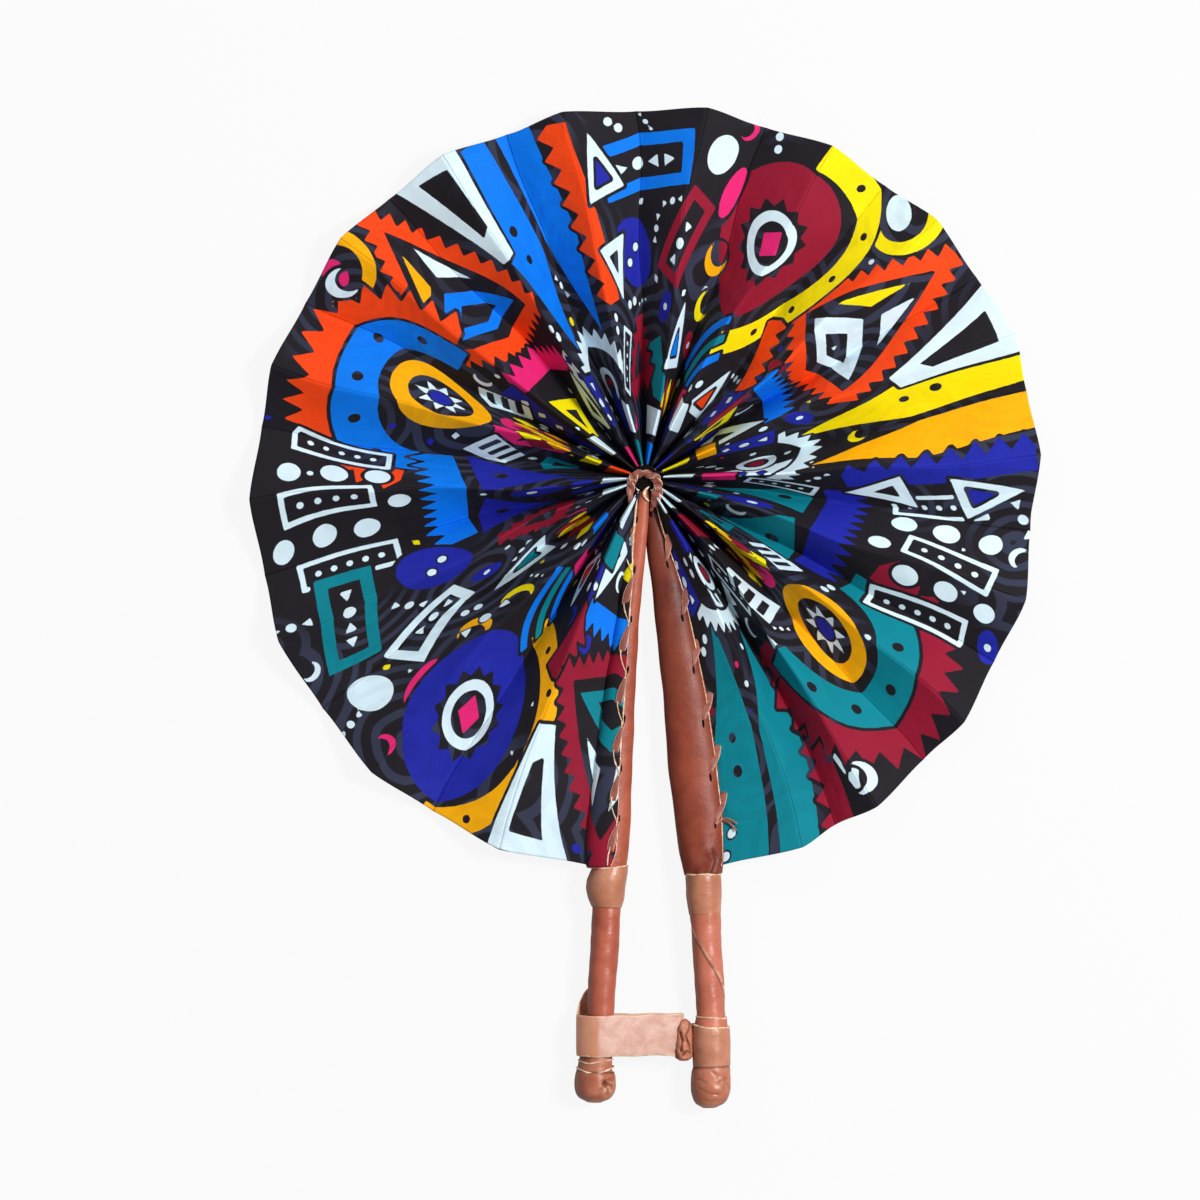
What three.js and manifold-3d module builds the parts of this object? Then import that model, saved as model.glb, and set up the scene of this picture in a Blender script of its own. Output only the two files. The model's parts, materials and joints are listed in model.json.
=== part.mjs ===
// Leather folding fan: a round pleated leaf between two leather covered sticks that turn on a
// laced hub. Modelled in millimetres round the hub, with the front of the fan facing +Z.
import * as THREE from 'three';
import Module from 'manifold-3d';

const manifoldLibrary = await Module();
manifoldLibrary.setup();
const { Manifold, Mesh: ManifoldMesh } = manifoldLibrary;

// Leaf
const LEAF_RADIUS = 172;
const LEAF_START_DEG = -78.5;
const LEAF_END_DEG = 261.5;
// Azimuths of the pleats' ridges: the valleys lie midway between them.
const RIDGE_AZIMUTHS = [
  -67, -55, -37, -18, 3, 22, 41, 60.5, 81, 102, 122.5, 142, 163, 183, 204.5, 227, 248.5,
];
const PANEL_COUNT = 2 * RIDGE_AZIMUTHS.length;
const PANEL_THICKNESS = 0.5;
const PANEL_GAP = 0.3;
const LEAF_INNER_RADIUS = 8.6;
const LEAST_INNER_SPAN = 1.35;
const SCALLOP_DEPTH = 2.2;
// How much further out the leaf's first two and last two panels begin than the others.
const EDGE_PANEL_INSETS = [14, 5];
// Creases at each end of the leaf that the sticks' width crowds together near the hub, and the
// radius inside which they are crowded no further.
const CROWDED_CREASES = 8;
const CROWDING_RADIUS = 20;
// Radius of the rim as a share of the leaf's, against azimuth: it is pulled in towards the top.
const RIM_SHARES = [
  [-81, 0.994], [-50, 1], [-20, 0.994], [-5, 0.98], [12, 0.988], [26, 0.985], [40, 0.968], [55, 0.951],
  [75, 0.933], [92, 0.927], [110, 0.933], [135, 0.959], [162, 0.968], [185, 0.985], [210, 1],
  [235, 0.997], [262, 0.985],
];
// Height of the pleats above and below the leaf's mid plane, against radius.
const PLEAT_HEIGHTS = [[8, 5.4], [20, 8.0], [40, 9.0], [85, 8.6], [130, 7.0], [170, 5.4], [200, 4.6]];

// Hub
const EYE_OUTER_RADIUS = 5.6;
const EYE_THICKNESS = 3.6;
const LAP_HALF_GAP = 0.4;
const SHANK_RADIUS = 2.6;
const HUB_HOLE_RADIUS = 1.1;
const HUB_RING_RADIUS = 4.0;
const HUB_RING_HEIGHT = 1.6;
const HUB_KNOT_RADIUS = 5.0;
const HUB_KNOT_HEIGHT = 1.8;
const TIE_CORD_RADIUS = 1.6;
const PANELS_PER_TIE = 6;

// Leather and its fits
const LEATHER = 0.9;
const FIT_GAP = 0.3;
const SLEEVE_START = 12;
const LACING_RADIUS = 0.8;
const LACING_PITCH = 22.8;
const LACING_LEAD = 18;
const LACING_SWING = 1.5;
const LACING_INSET = 2.6;

// Handles
const STICK_RADIUS = 4.9;
const KNOB_RADIUS = 9.3;
const KNOB_END = 2.6;
const FLAT_CUT = 0.15;
const REST_DEPTH = KNOB_RADIUS - FLAT_CUT;

// Each sleeve as drawn: distance down, half width, half height, height of the centre. The left
// stick laps over the right one at the hub.
const LAP_HEIGHT = LAP_HALF_GAP + EYE_THICKNESS / 2;
const DRAWN_LEFT_SLEEVE = [
  [SLEEVE_START, 2.9, 1.8, LAP_HEIGHT], [30, 3.6, 2.3, LAP_HEIGHT], [46, 4.2, 3.4, 0.9],
  [64, 4.8, 4.2, 0], [95, 6.4, 4.8, 0], [121, 7.8, 5.2, 0], [140, 8.5, 5.7, 0], [158, 9.0, 6.4, 0],
  [167, 8.6, 7.0, 0],
];
const DRAWN_RIGHT_SLEEVE = [
  [SLEEVE_START, 2.9, 1.8, -LAP_HEIGHT], [18, 3.2, 2.0, -LAP_HEIGHT], [24, 3.9, 2.1, -LAP_HEIGHT],
  [30, 4.6, 2.3, -LAP_HEIGHT], [46, 6.5, 3.4, -0.9], [64, 7.9, 4.2, 0], [95, 9.5, 4.8, 0],
  [121, 10.6, 5.2, 0], [140, 10.6, 5.7, 0], [156, 9.8, 6.4, 0], [168.5, 8.4, 7.0, 0],
];

// The right sleeve ends this far inside the leaf's rim.
const SLEEVE_INSET = 3.5;

// Distance down a stick: the sleeves stretch to their end, and what lies below moves with it.
function stretched(distance) {
  const drawnEnd = DRAWN_RIGHT_SLEEVE[DRAWN_RIGHT_SLEEVE.length - 1][0];
  const growth = LEAF_RADIUS - SLEEVE_INSET - drawnEnd;
  return distance + growth * Math.min(1, distance / drawnEnd);
}

const stretchedTable = (table) => table.map(([distance, ...sizes]) => [stretched(distance), ...sizes]);
const LEFT_SLEEVE = stretchedTable(DRAWN_LEFT_SLEEVE);
const RIGHT_SLEEVE = stretchedTable(DRAWN_RIGHT_SLEEVE);

// Centre line of each stick: distance down from the hub, sideways offset.
const LEFT_LINE = stretchedTable([
  [0, 0], [18, -1.6], [35, -3.9], [61, -7.3], [95.5, -10.75], [130, -13.8], [167.7, -16.6],
  [185, -17.2], [232, -19.2], [250, -20.6], [262, -21.6], [272, -22],
]);
const RIGHT_LINE = stretchedTable([
  [0, 0], [12, 1.9], [18, 3.3], [24, 4.8], [30, 6.4], [46, 9.5], [64, 12.4], [95.5, 17.5], [121, 20.2],
  [151, 23.7], [179, 25.4], [210, 26.7], [243, 27.3], [263, 28.2], [274, 28.3],
]);

// Rings round the sticks: distance down, radius.
const LEFT_COLLAR = stretchedTable([[167.3, 8.0], [170, 8.8], [176, 8.7], [182, 7.8], [184.6, 7.3]]);
const LEFT_GRIP = stretchedTable([[184.9, 6.7], [200, 6.4], [216, 6.2], [231.6, 6.1]]);
const LEFT_BINDING = stretchedTable([
  [231.9, 6.7], [236, 6.8], [249.8, 6.8], [250.5, 7.6], [252, 7.1], [254, 7.6], [255.4, 7.2],
]);
const RIGHT_COLLAR = stretchedTable([[168.8, 7.8], [172, 8.3], [179, 8.2], [185, 7.4], [187.6, 7.1]]);
const RIGHT_GRIP = stretchedTable([[187.9, 6.5], [200, 6.4], [217, 6.4], [231.8, 6.3]]);
// The knobs and the lower collar are drawn as distance down and how far short of the knobs' radius.
const shortOfKnob = (table) => stretchedTable(table).map(([down, short]) => [down, KNOB_RADIUS - short]);
const LEFT_KNOB = shortOfKnob([[255.7, 1.3], [258.5, 0], [264, 0], [267.5, 1.1], [269.2, 3.3]]);
const RIGHT_LOWER_COLLAR = shortOfKnob([
  [232.1, 0.7], [234, 0.1], [236.5, 0.5], [246, 0.5], [252, 0.3], [254.3, 0.8],
]);
const RIGHT_KNOB = shortOfKnob([[254.6, 1.3], [258, 0], [265, 0], [269.5, 1.5], [271.3, 3.9]]);

// Strap
const STRAP_TOP = stretched(232.4);
const STRAP_WIDTH = 17;
const STRAP_THICKNESS = 1.0;
const STRAP_LEFT = -30.0;
const STRAP_LEFT_REACH = 10.0;
const STRAP_END_RADIUS = 3.4;
const STRAP_HALF_HEIGHT = KNOB_RADIUS - 0.7;
const STRAP_TIE_REACH = 4.8;
const STRAP_TIE_HALF_HEIGHT = 5.4;
// The tie ends beside the lower collar, and the loop beside the tie.
const STRAP_TIE_RIGHT = 26.9 - KNOB_RADIUS;
const STRAP_RIGHT = STRAP_TIE_RIGHT - STRAP_TIE_REACH;

const RAD = Math.PI / 180;
const LEATHER_BROWN = '#8a4026';
const LEATHER_DARK = '#6b2c1b';
const LEATHER_TAN = '#b5643c';
const LEATHER_PALE = '#c98d77';
const WOOD = '#b58a58';
const CLOTH_COLOURS = ['#1f2430', '#1d6fb8', '#d8432a', '#e9a821', '#f2d43a', '#a6174a', '#bcd7ea'];

// Piecewise linear reading of one column of a table whose first column rises.
function lookUp(table, key, column = 1) {
  if (key <= table[0][0]) {
    return table[0][column];
  }
  for (let i = 1; i < table.length; i += 1) {
    if (key <= table[i][0]) {
      const t = (key - table[i - 1][0]) / (table[i][0] - table[i - 1][0]);
      return table[i - 1][column] * (1 - t) + table[i][column] * t;
    }
  }
  return table[table.length - 1][column];
}

// Closed surface through a row of rings with the same number of points. An open row is capped
// at both ends, a cyclic row joins its last ring to its first. Strips named in turned are cut
// along their other diagonal.
function sweep(rings, cyclic = false, turned = []) {
  const size = rings[0].length;
  const positions = rings.flat().flatMap((p) => [p.x, p.y, p.z]);
  const index = [];
  const last = cyclic ? rings.length : rings.length - 1;
  for (let i = 0; i < last; i += 1) {
    const a = i * size;
    const b = ((i + 1) % rings.length) * size;
    for (let j = 0; j < size; j += 1) {
      const k = (j + 1) % size;
      if (turned.includes(j)) {
        index.push(a + j, b + j, a + k, b + j, b + k, a + k);
      } else {
        index.push(a + j, b + j, b + k, a + j, b + k, a + k);
      }
    }
  }
  if (!cyclic) {
    for (const [start, flip] of [[0, false], [(rings.length - 1) * size, true]]) {
      const middle = positions.length / 3;
      const ring = rings[start / size];
      const centre = ring.reduce((sum, p) => sum.add(p), new THREE.Vector3()).divideScalar(size);
      positions.push(centre.x, centre.y, centre.z);
      for (let j = 0; j < size; j += 1) {
        const k = (j + 1) % size;
        index.push(middle, start + (flip ? k : j), start + (flip ? j : k));
      }
    }
  }
  return faceOutward(positions, index);
}

// Turns the triangles over when they enclose a negative volume.
function faceOutward(positions, index) {
  const geometry = new THREE.BufferGeometry();
  const p = (i) => new THREE.Vector3(positions[3 * i], positions[3 * i + 1], positions[3 * i + 2]);
  let volume = 0;
  for (let t = 0; t < index.length; t += 3) {
    volume += p(index[t]).dot(p(index[t + 1]).cross(p(index[t + 2])));
  }
  const order = volume < 0 ? index.slice().reverse() : index;
  geometry.setAttribute('position', new THREE.Float32BufferAttribute(positions, 3));
  geometry.setIndex(order);
  return geometry;
}

function toManifold(geometry) {
  return new Manifold(new ManifoldMesh({
    numProp: 3,
    vertProperties: new Float32Array(geometry.getAttribute('position').array),
    triVerts: new Uint32Array(geometry.getIndex().array),
  }));
}

function fromManifold(solid) {
  const mesh = solid.getMesh();
  const geometry = new THREE.BufferGeometry();
  geometry.setAttribute('position', new THREE.Float32BufferAttribute(Array.from(mesh.vertProperties), 3));
  geometry.setIndex(Array.from(mesh.triVerts));
  return geometry;
}

// Leaf panels
function rimRadius(azimuth) {
  return LEAF_RADIUS * lookUp(RIM_SHARES, azimuth);
}

// Azimuth at which the outer side of a stick, with its gap, crosses a radius.
function stickSide(line, sleeve, side, radius) {
  let azimuth = 270;
  for (let pass = 0; pass < 6; pass += 1) {
    const down = -radius * Math.sin(azimuth * RAD);
    const halfWidth = lookUp(sleeve, down);
    const x = lookUp(line, down) + side * (halfWidth + FIT_GAP + PANEL_GAP);
    azimuth = 270 + Math.asin(Math.min(0.99, Math.max(-0.99, x / radius))) / RAD;
  }
  return azimuth;
}

// Azimuth of a crease: ridges have odd numbers, and the end creases are the leaf's two edges.
function creaseAzimuth(crease) {
  if (crease === 0) {
    return LEAF_START_DEG;
  }
  if (crease === PANEL_COUNT) {
    return LEAF_END_DEG;
  }
  if (crease % 2 === 1) {
    return RIDGE_AZIMUTHS[(crease - 1) / 2];
  }
  return (RIDGE_AZIMUTHS[crease / 2 - 1] + RIDGE_AZIMUTHS[crease / 2]) / 2;
}

// Azimuth of a crease at a radius: the sticks' sides push the leaf's two edges away, and the
// creases beside them give way by a share that falls evenly to nothing.
function crowdedAzimuth(crease, radius) {
  const at = Math.max(radius, CROWDING_RADIUS);
  const fromStart = Math.max(0, 1 - crease / CROWDED_CREASES);
  const fromEnd = Math.max(0, 1 - (PANEL_COUNT - crease) / CROWDED_CREASES);
  const push = Math.max(0, stickSide(RIGHT_LINE, RIGHT_SLEEVE, 1, at) - 360 - LEAF_START_DEG);
  const pull = Math.max(0, LEAF_END_DEG - stickSide(LEFT_LINE, LEFT_SLEEVE, -1, at));
  return creaseAzimuth(crease) + push * fromStart - pull * fromEnd;
}

// One point of a crease: the leaf's two edges lie on its mid plane, along the sides of the sticks.
function creasePoint(crease, radius) {
  const azimuth = crowdedAzimuth(crease, radius);
  const isEdge = crease === 0 || crease === PANEL_COUNT;
  const height = isEdge ? 0 : lookUp(PLEAT_HEIGHTS, radius) * (crease % 2 === 1 ? 1 : -1);
  return new THREE.Vector3(radius * Math.cos(azimuth * RAD), radius * Math.sin(azimuth * RAD), height);
}

function panelGeometry(panel) {
  const fromEdge = Math.min(panel, PANEL_COUNT - 1 - panel);
  const span = (crowdedAzimuth(panel + 1, 0) - crowdedAzimuth(panel, 0)) * RAD;
  const clear = Math.max(LEAF_INNER_RADIUS, LEAST_INNER_SPAN / span);
  const inner = clear + (EDGE_PANEL_INSETS[fromEdge] ?? 0);
  const middle = (creaseAzimuth(panel) + creaseAzimuth(panel + 1)) / 2;
  const stations = 10;
  const rings = [];
  for (let i = 0; i <= stations; i += 1) {
    const share = (i / stations) ** 1.4;
    const ends = [panel, panel + 1].map((crease) => {
      const ridge = crease % 2 === 1 ? 1 : -1;
      const rim = rimRadius(middle) + 0.5 * SCALLOP_DEPTH * ridge;
      return creasePoint(crease, inner + (rim - inner) * share);
    });
    const across = ends[1].clone().sub(ends[0]);
    const flat = Math.hypot(across.x, across.y);
    const slope = Math.abs(across.z) / across.length();
    const pull = (PANEL_GAP / 2 + 0.5 * PANEL_THICKNESS * slope) / flat;
    const a = ends[0].clone().lerp(ends[1], pull);
    const b = ends[0].clone().lerp(ends[1], 1 - pull);
    const out = new THREE.Vector3(Math.cos(middle * RAD), Math.sin(middle * RAD), 0);
    const normal = out.cross(across).normalize().multiplyScalar(PANEL_THICKNESS / 2);
    rings.push([a.clone().add(normal), b.clone().add(normal), b.clone().sub(normal), a.clone().sub(normal)]);
  }
  return sweep(rings, false, [2]);
}

// Sticks
function stickRing(line, down, halfWidth, halfHeight, centreHeight = 0, sides = 20, flatten = false) {
  const x = lookUp(line, down);
  const slope = (lookUp(line, down + 2) - lookUp(line, down - 2)) / 4;
  const across = new THREE.Vector3(1, slope, 0).normalize();
  const ring = [];
  for (let j = 0; j < sides; j += 1) {
    const angle = ((j + 0.5) / sides) * 2 * Math.PI;
    const p = new THREE.Vector3(x, -down, centreHeight + halfHeight * Math.sin(angle));
    p.addScaledVector(across, halfWidth * Math.cos(angle));
    if (flatten) {
      p.z = Math.max(p.z, -REST_DEPTH);
    }
    ring.push(p);
  }
  return ring;
}

// Widths of the sleeve tables at even steps, thickened or thinned by one offset.
function sleeveRings(line, sleeve, offset, steps = 12) {
  const first = sleeve[0][0];
  const last = sleeve[sleeve.length - 1][0];
  return Array.from({ length: steps + 1 }, (_, i) => {
    const down = first + ((last - first) * i) / steps;
    const [w, h, z] = [1, 2, 3].map((column) => lookUp(sleeve, down, column));
    return stickRing(line, down, w - offset, h - offset, z);
  });
}

function sleeveGeometry(line, sleeve) {
  const outer = sleeveRings(line, sleeve, 0);
  const inner = sleeveRings(line, sleeve, LEATHER);
  return sweep([...outer, ...inner.reverse()], true);
}

// Leather ring round the stick: the bore follows the stick's own thickness.
function bandGeometry(line, profile, bore, flatten = false) {
  const outer = profile.map(([down, radius]) => stickRing(line, down, radius, radius, 0, 20, flatten));
  const inner = profile.map(([down]) => stickRing(line, down, bore + FIT_GAP, bore + FIT_GAP));
  return sweep([...outer, ...inner.reverse()], true);
}

// Leather cap over the foot of the stick, open towards the hub.
function knobGeometry(line, profile, bore) {
  const top = profile[0][0];
  const foot = profile[profile.length - 1][0] - KNOB_END;
  const boreRadius = bore + FIT_GAP;
  const inner = [foot, top].map((down) => stickRing(line, down, boreRadius, boreRadius));
  const outer = profile.map(([down, radius]) => stickRing(line, down, radius, radius, 0, 20, true));
  return sweep([...inner, ...outer]);
}

// Wooden stick: a flat lapped neck with an eye at the hub, then the shape of its sleeve inside.
function coreGeometry(line, sleeve, lowerRadius, foot) {
  const offset = LEATHER + FIT_GAP;
  const lap = sleeve[0][3];
  const neck = [sleeve[0][1] - offset, sleeve[0][2] - offset, lap];
  const rings = [stickRing(line, EYE_OUTER_RADIUS - 1.2, ...neck)];
  const inside = sleeveRings(line, sleeve, offset).slice(0, -1);
  const end = sleeve[sleeve.length - 1][0];
  rings.push(...inside);
  const lower = line.map(([down]) => down).filter((down) => down > end + 1 && down < foot - KNOB_END - 1);
  for (const down of [end - 0.5, ...lower, foot - KNOB_END - FIT_GAP]) {
    rings.push(stickRing(line, down, lowerRadius, lowerRadius));
  }
  const eye = Manifold.cylinder(EYE_THICKNESS, EYE_OUTER_RADIUS, EYE_OUTER_RADIUS, 36, true);
  const hole = Manifold.cylinder(EYE_THICKNESS + 4, SHANK_RADIUS + FIT_GAP, SHANK_RADIUS + FIT_GAP, 30, true);
  const solid = toManifold(sweep(rings)).add(eye.translate([0, 0, lap])).subtract(hole.translate([0, 0, lap]));
  return fromManifold(solid);
}

// Lace that runs in a zigzag over the outer edge of a sleeve.
function lacingGeometry(line, sleeve, side) {
  const start = SLEEVE_START + LACING_LEAD;
  const end = sleeve[sleeve.length - 1][0] - 6;
  const turns = Math.floor((end - start) / LACING_PITCH) * 2;
  const points = [];
  for (let i = 0; i <= turns; i += 1) {
    const down = start + (i * LACING_PITCH) / 2;
    const [w, h, z] = [1, 2, 3].map((column) => lookUp(sleeve, down, column));
    const swing = Math.min(LACING_SWING, w - LACING_INSET);
    const sideways = Math.max(w - LACING_INSET, 0.6) + (i % 2 === 0 ? swing : -swing) * 0.9;
    const nearest = Math.max(0, Math.max(w - LACING_INSET, 0.6) - swing);
    const top = z + h * Math.sqrt(Math.max(0.05, 1 - (nearest / w) ** 2));
    points.push(new THREE.Vector3(lookUp(line, down) + side * sideways, -down, top + FIT_GAP + LACING_RADIUS));
  }
  return cordGeometry(points, LACING_RADIUS, 6);
}

// Round cord along a run of points, with its sections turned to the run's mean direction.
function cordGeometry(points, radius, sides) {
  const rings = points.map((point, i) => {
    const before = points[Math.max(0, i - 1)];
    const after = points[Math.min(points.length - 1, i + 1)];
    const along = after.clone().sub(before).normalize();
    const across = new THREE.Vector3(0, 0, 1).cross(along).normalize();
    const up = along.clone().cross(across);
    return Array.from({ length: sides }, (_, j) => {
      const angle = (j / sides) * 2 * Math.PI;
      const p = point.clone().addScaledVector(across, radius * Math.cos(angle) * 1.25);
      return p.addScaledVector(up, radius * Math.sin(angle));
    });
  });
  return sweep(rings);
}

// Hub
function lathe(profile, sides) {
  const rings = Array.from({ length: sides }, (_, i) => {
    const angle = (i / sides) * 2 * Math.PI;
    return profile.map(([r, z]) => new THREE.Vector3(r * Math.cos(angle), r * Math.sin(angle), z));
  });
  return sweep(rings, true);
}

function hubGeometry() {
  const reach = LAP_HALF_GAP + EYE_THICKNESS + FIT_GAP;
  const knot = reach + HUB_KNOT_HEIGHT;
  const ring = reach + HUB_RING_HEIGHT;
  return lathe([
    [HUB_HOLE_RADIUS, -knot], [HUB_KNOT_RADIUS - 0.8, -knot], [HUB_KNOT_RADIUS, -knot + 0.8],
    [HUB_KNOT_RADIUS, -reach], [SHANK_RADIUS, -reach], [SHANK_RADIUS, reach], [HUB_RING_RADIUS - 0.5, reach],
    [HUB_RING_RADIUS, reach + 0.5], [HUB_RING_RADIUS, ring - 0.5], [HUB_RING_RADIUS - 0.8, ring],
    [HUB_HOLE_RADIUS + 0.9, ring], [HUB_HOLE_RADIUS, ring - 0.9],
  ], 32);
}

function tieGeometry(tie) {
  const first = tie * PANELS_PER_TIE;
  const last = Math.min(PANEL_COUNT, first + PANELS_PER_TIE);
  const radius = HUB_RING_RADIUS + FIT_GAP + TIE_CORD_RADIUS;
  const gap = FIT_GAP / radius / RAD / 2;
  const from = creaseAzimuth(first) + gap;
  const to = creaseAzimuth(last) - gap;
  const height = LAP_HALF_GAP + EYE_THICKNESS + FIT_GAP + TIE_CORD_RADIUS;
  const steps = 12;
  const rings = Array.from({ length: steps + 1 }, (_, i) => {
    const azimuth = (from + ((to - from) * i) / steps) * RAD;
    return Array.from({ length: 10 }, (_, j) => {
      const turn = (j / 10) * 2 * Math.PI;
      const r = radius + TIE_CORD_RADIUS * Math.cos(turn);
      const z = height + TIE_CORD_RADIUS * Math.sin(turn);
      return new THREE.Vector3(r * Math.cos(azimuth), r * Math.sin(azimuth), z);
    });
  });
  return sweep(rings);
}

// Strap: an upright band that goes round the left handle and ends at the right one.
function strapGeometry() {
  const leftCentre = STRAP_LEFT + STRAP_LEFT_REACH;
  const rightCentre = STRAP_RIGHT - STRAP_END_RADIUS;
  const path = (grow) => {
    const points = [];
    for (let i = 0; i <= 14; i += 1) {
      const angle = (90 + (i * 180) / 14) * RAD;
      points.push([
        leftCentre + (STRAP_LEFT_REACH - grow) * Math.cos(angle),
        (STRAP_HALF_HEIGHT - grow) * Math.sin(angle),
      ]);
    }
    for (let i = 0; i <= 8; i += 1) {
      const angle = (-90 + (i * 180) / 8) * RAD;
      points.push([
        rightCentre + (STRAP_END_RADIUS - grow) * Math.cos(angle),
        (STRAP_END_RADIUS - grow) * Math.sin(angle),
      ]);
    }
    return points;
  };
  const outer = path(0);
  const inner = path(STRAP_THICKNESS);
  const foot = -STRAP_TOP - STRAP_WIDTH;
  const rings = outer.map(([ox, oz], i) => [
    new THREE.Vector3(ox, -STRAP_TOP, oz), new THREE.Vector3(ox, foot, oz),
    new THREE.Vector3(inner[i][0], foot, inner[i][1]), new THREE.Vector3(inner[i][0], -STRAP_TOP, inner[i][1]),
  ]);
  return sweep(rings, true);
}

function strapTieGeometry() {
  const left = STRAP_RIGHT + FIT_GAP;
  const halfWidth = (STRAP_TIE_RIGHT - left) / 2;
  const centre = (STRAP_TIE_RIGHT + left) / 2;
  const stations = [[0.3, 0.7], [3, 1], [6, 0.82], [9, 0.95], [12, 0.82], [15, 1], [17.2, 0.7]];
  const rings = stations.map(([down, share]) => (
    Array.from({ length: 14 }, (_, j) => {
      const angle = (j / 14) * 2 * Math.PI;
      const x = centre + halfWidth * share * Math.cos(angle);
      return new THREE.Vector3(x, -STRAP_TOP - down, STRAP_TIE_HALF_HEIGHT * share * Math.sin(angle));
    })
  ));
  return sweep(rings);
}

// Assembly
function mesh(name, geometry, colour, roughness) {
  geometry.computeVertexNormals();
  const material = new THREE.MeshStandardMaterial({ color: colour, roughness, metalness: 0, flatShading: true });
  const item = new THREE.Mesh(geometry, material);
  item.name = name;
  return item;
}

function buildFan() {
  const fan = new THREE.Group();
  fan.name = 'folding_fan';
  const add = (name, geometry, colour, roughness = 0.5) => fan.add(mesh(name, geometry, colour, roughness));

  for (let i = 0; i < PANEL_COUNT; i += 1) {
    const name = `leaf_panel_${String(i + 1).padStart(2, '0')}`;
    add(name, panelGeometry(i), CLOTH_COLOURS[(i * 3) % CLOTH_COLOURS.length], 0.9);
  }
  for (let i = 0; i * PANELS_PER_TIE < PANEL_COUNT; i += 1) {
    add(`gather_tie_${i + 1}`, tieGeometry(i), LEATHER_TAN);
  }
  add('hub_lace', hubGeometry(), LEATHER_BROWN);

  const sticks = [
    {
      side: 'left', line: LEFT_LINE, sleeve: LEFT_SLEEVE, sign: -1, foot: LEFT_KNOB,
      bands: [['collar', LEFT_COLLAR, LEATHER_TAN], ['grip', LEFT_GRIP, LEATHER_BROWN],
        ['binding', LEFT_BINDING, LEATHER_TAN]],
    },
    {
      side: 'right', line: RIGHT_LINE, sleeve: RIGHT_SLEEVE, sign: 1, foot: RIGHT_KNOB,
      bands: [['collar', RIGHT_COLLAR, LEATHER_TAN], ['grip', RIGHT_GRIP, LEATHER_BROWN],
        ['lower_collar', RIGHT_LOWER_COLLAR, LEATHER_TAN]],
    },
  ];
  for (const { side, line, sleeve, sign, foot, bands } of sticks) {
    add(`${side}_core`, coreGeometry(line, sleeve, STICK_RADIUS, foot[foot.length - 1][0]), WOOD, 0.7);
    add(`${side}_sleeve`, sleeveGeometry(line, sleeve), sign > 0 ? LEATHER_DARK : LEATHER_BROWN);
    add(`${side}_lacing`, lacingGeometry(line, sleeve, sign), LEATHER_TAN);
    for (const [name, profile, colour] of bands) {
      add(`${side}_${name}`, bandGeometry(line, profile, STICK_RADIUS, name === 'lower_collar'), colour);
    }
    add(`${side}_knob`, knobGeometry(line, foot, STICK_RADIUS), LEATHER_BROWN);
  }
  add('strap_loop', strapGeometry(), LEATHER_PALE, 0.6);
  add('strap_tie', strapTieGeometry(), LEATHER_PALE, 0.6);

  // The origin is the middle of the underside's bounding rectangle.
  const box = new THREE.Box3().setFromObject(fan, true);
  const shift = new THREE.Vector3((box.min.x + box.max.x) / 2, (box.min.y + box.max.y) / 2, box.min.z);
  for (const item of fan.children) {
    item.geometry.translate(-shift.x, -shift.y, -shift.z);
  }
  return fan;
}

export default buildFan();
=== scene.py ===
import json
import logging
import math
from dataclasses import dataclass, field
from enum import Enum
from typing import Callable, Sequence

import bpy
import numpy as np
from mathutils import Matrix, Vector

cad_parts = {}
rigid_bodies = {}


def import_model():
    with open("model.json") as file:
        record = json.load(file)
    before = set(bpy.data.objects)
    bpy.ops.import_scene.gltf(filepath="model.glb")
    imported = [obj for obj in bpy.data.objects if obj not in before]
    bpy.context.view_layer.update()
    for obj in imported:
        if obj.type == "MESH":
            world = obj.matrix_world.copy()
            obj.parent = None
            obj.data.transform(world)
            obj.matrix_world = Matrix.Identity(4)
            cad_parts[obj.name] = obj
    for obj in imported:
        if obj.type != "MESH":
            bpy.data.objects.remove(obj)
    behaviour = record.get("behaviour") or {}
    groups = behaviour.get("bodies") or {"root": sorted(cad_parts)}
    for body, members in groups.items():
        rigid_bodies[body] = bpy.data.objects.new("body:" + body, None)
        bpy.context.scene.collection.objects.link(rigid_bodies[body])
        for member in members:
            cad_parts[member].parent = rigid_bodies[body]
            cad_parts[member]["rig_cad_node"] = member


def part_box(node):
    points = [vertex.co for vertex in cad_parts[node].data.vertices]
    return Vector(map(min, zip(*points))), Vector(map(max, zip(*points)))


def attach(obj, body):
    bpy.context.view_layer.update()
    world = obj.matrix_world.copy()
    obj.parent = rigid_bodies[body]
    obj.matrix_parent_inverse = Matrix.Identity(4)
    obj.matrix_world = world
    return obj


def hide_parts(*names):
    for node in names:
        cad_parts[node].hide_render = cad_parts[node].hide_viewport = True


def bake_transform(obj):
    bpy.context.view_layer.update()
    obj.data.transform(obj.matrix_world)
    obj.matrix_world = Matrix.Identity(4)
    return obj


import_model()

log = logging.getLogger("folding_fan")
MM = 0.001
TURN = 2 * math.pi
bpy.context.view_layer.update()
# Height of the leaf's mid plane above the surface that the fan lies on
REST_DEPTH = 9.15

Array = np.ndarray
Piece = bpy.types.Object
Material = bpy.types.Material
Colour = tuple[float, float, float]
Point = tuple[float, float]
Points = Sequence[Point]
Lines = Sequence[Points]
Table = Sequence[Sequence[float]]


def hub_point() -> Array:
    """Middle of the hub on the leaf's mid plane, in millimetres, in the row frame."""
    low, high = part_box("hub_lace")
    return np.array([(low.x + high.x) / 2 / MM, (low.y + high.y) / 2 / MM, REST_DEPTH])


HUB = hub_point()


def look_up(table: Table, key: Array | float, column: int = 1) -> Array:
    """One column of a table at these keys, read linearly by its first column, which rises."""
    rows = np.array(table, float)
    return np.interp(key, rows[:, 0], rows[:, column])


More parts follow.
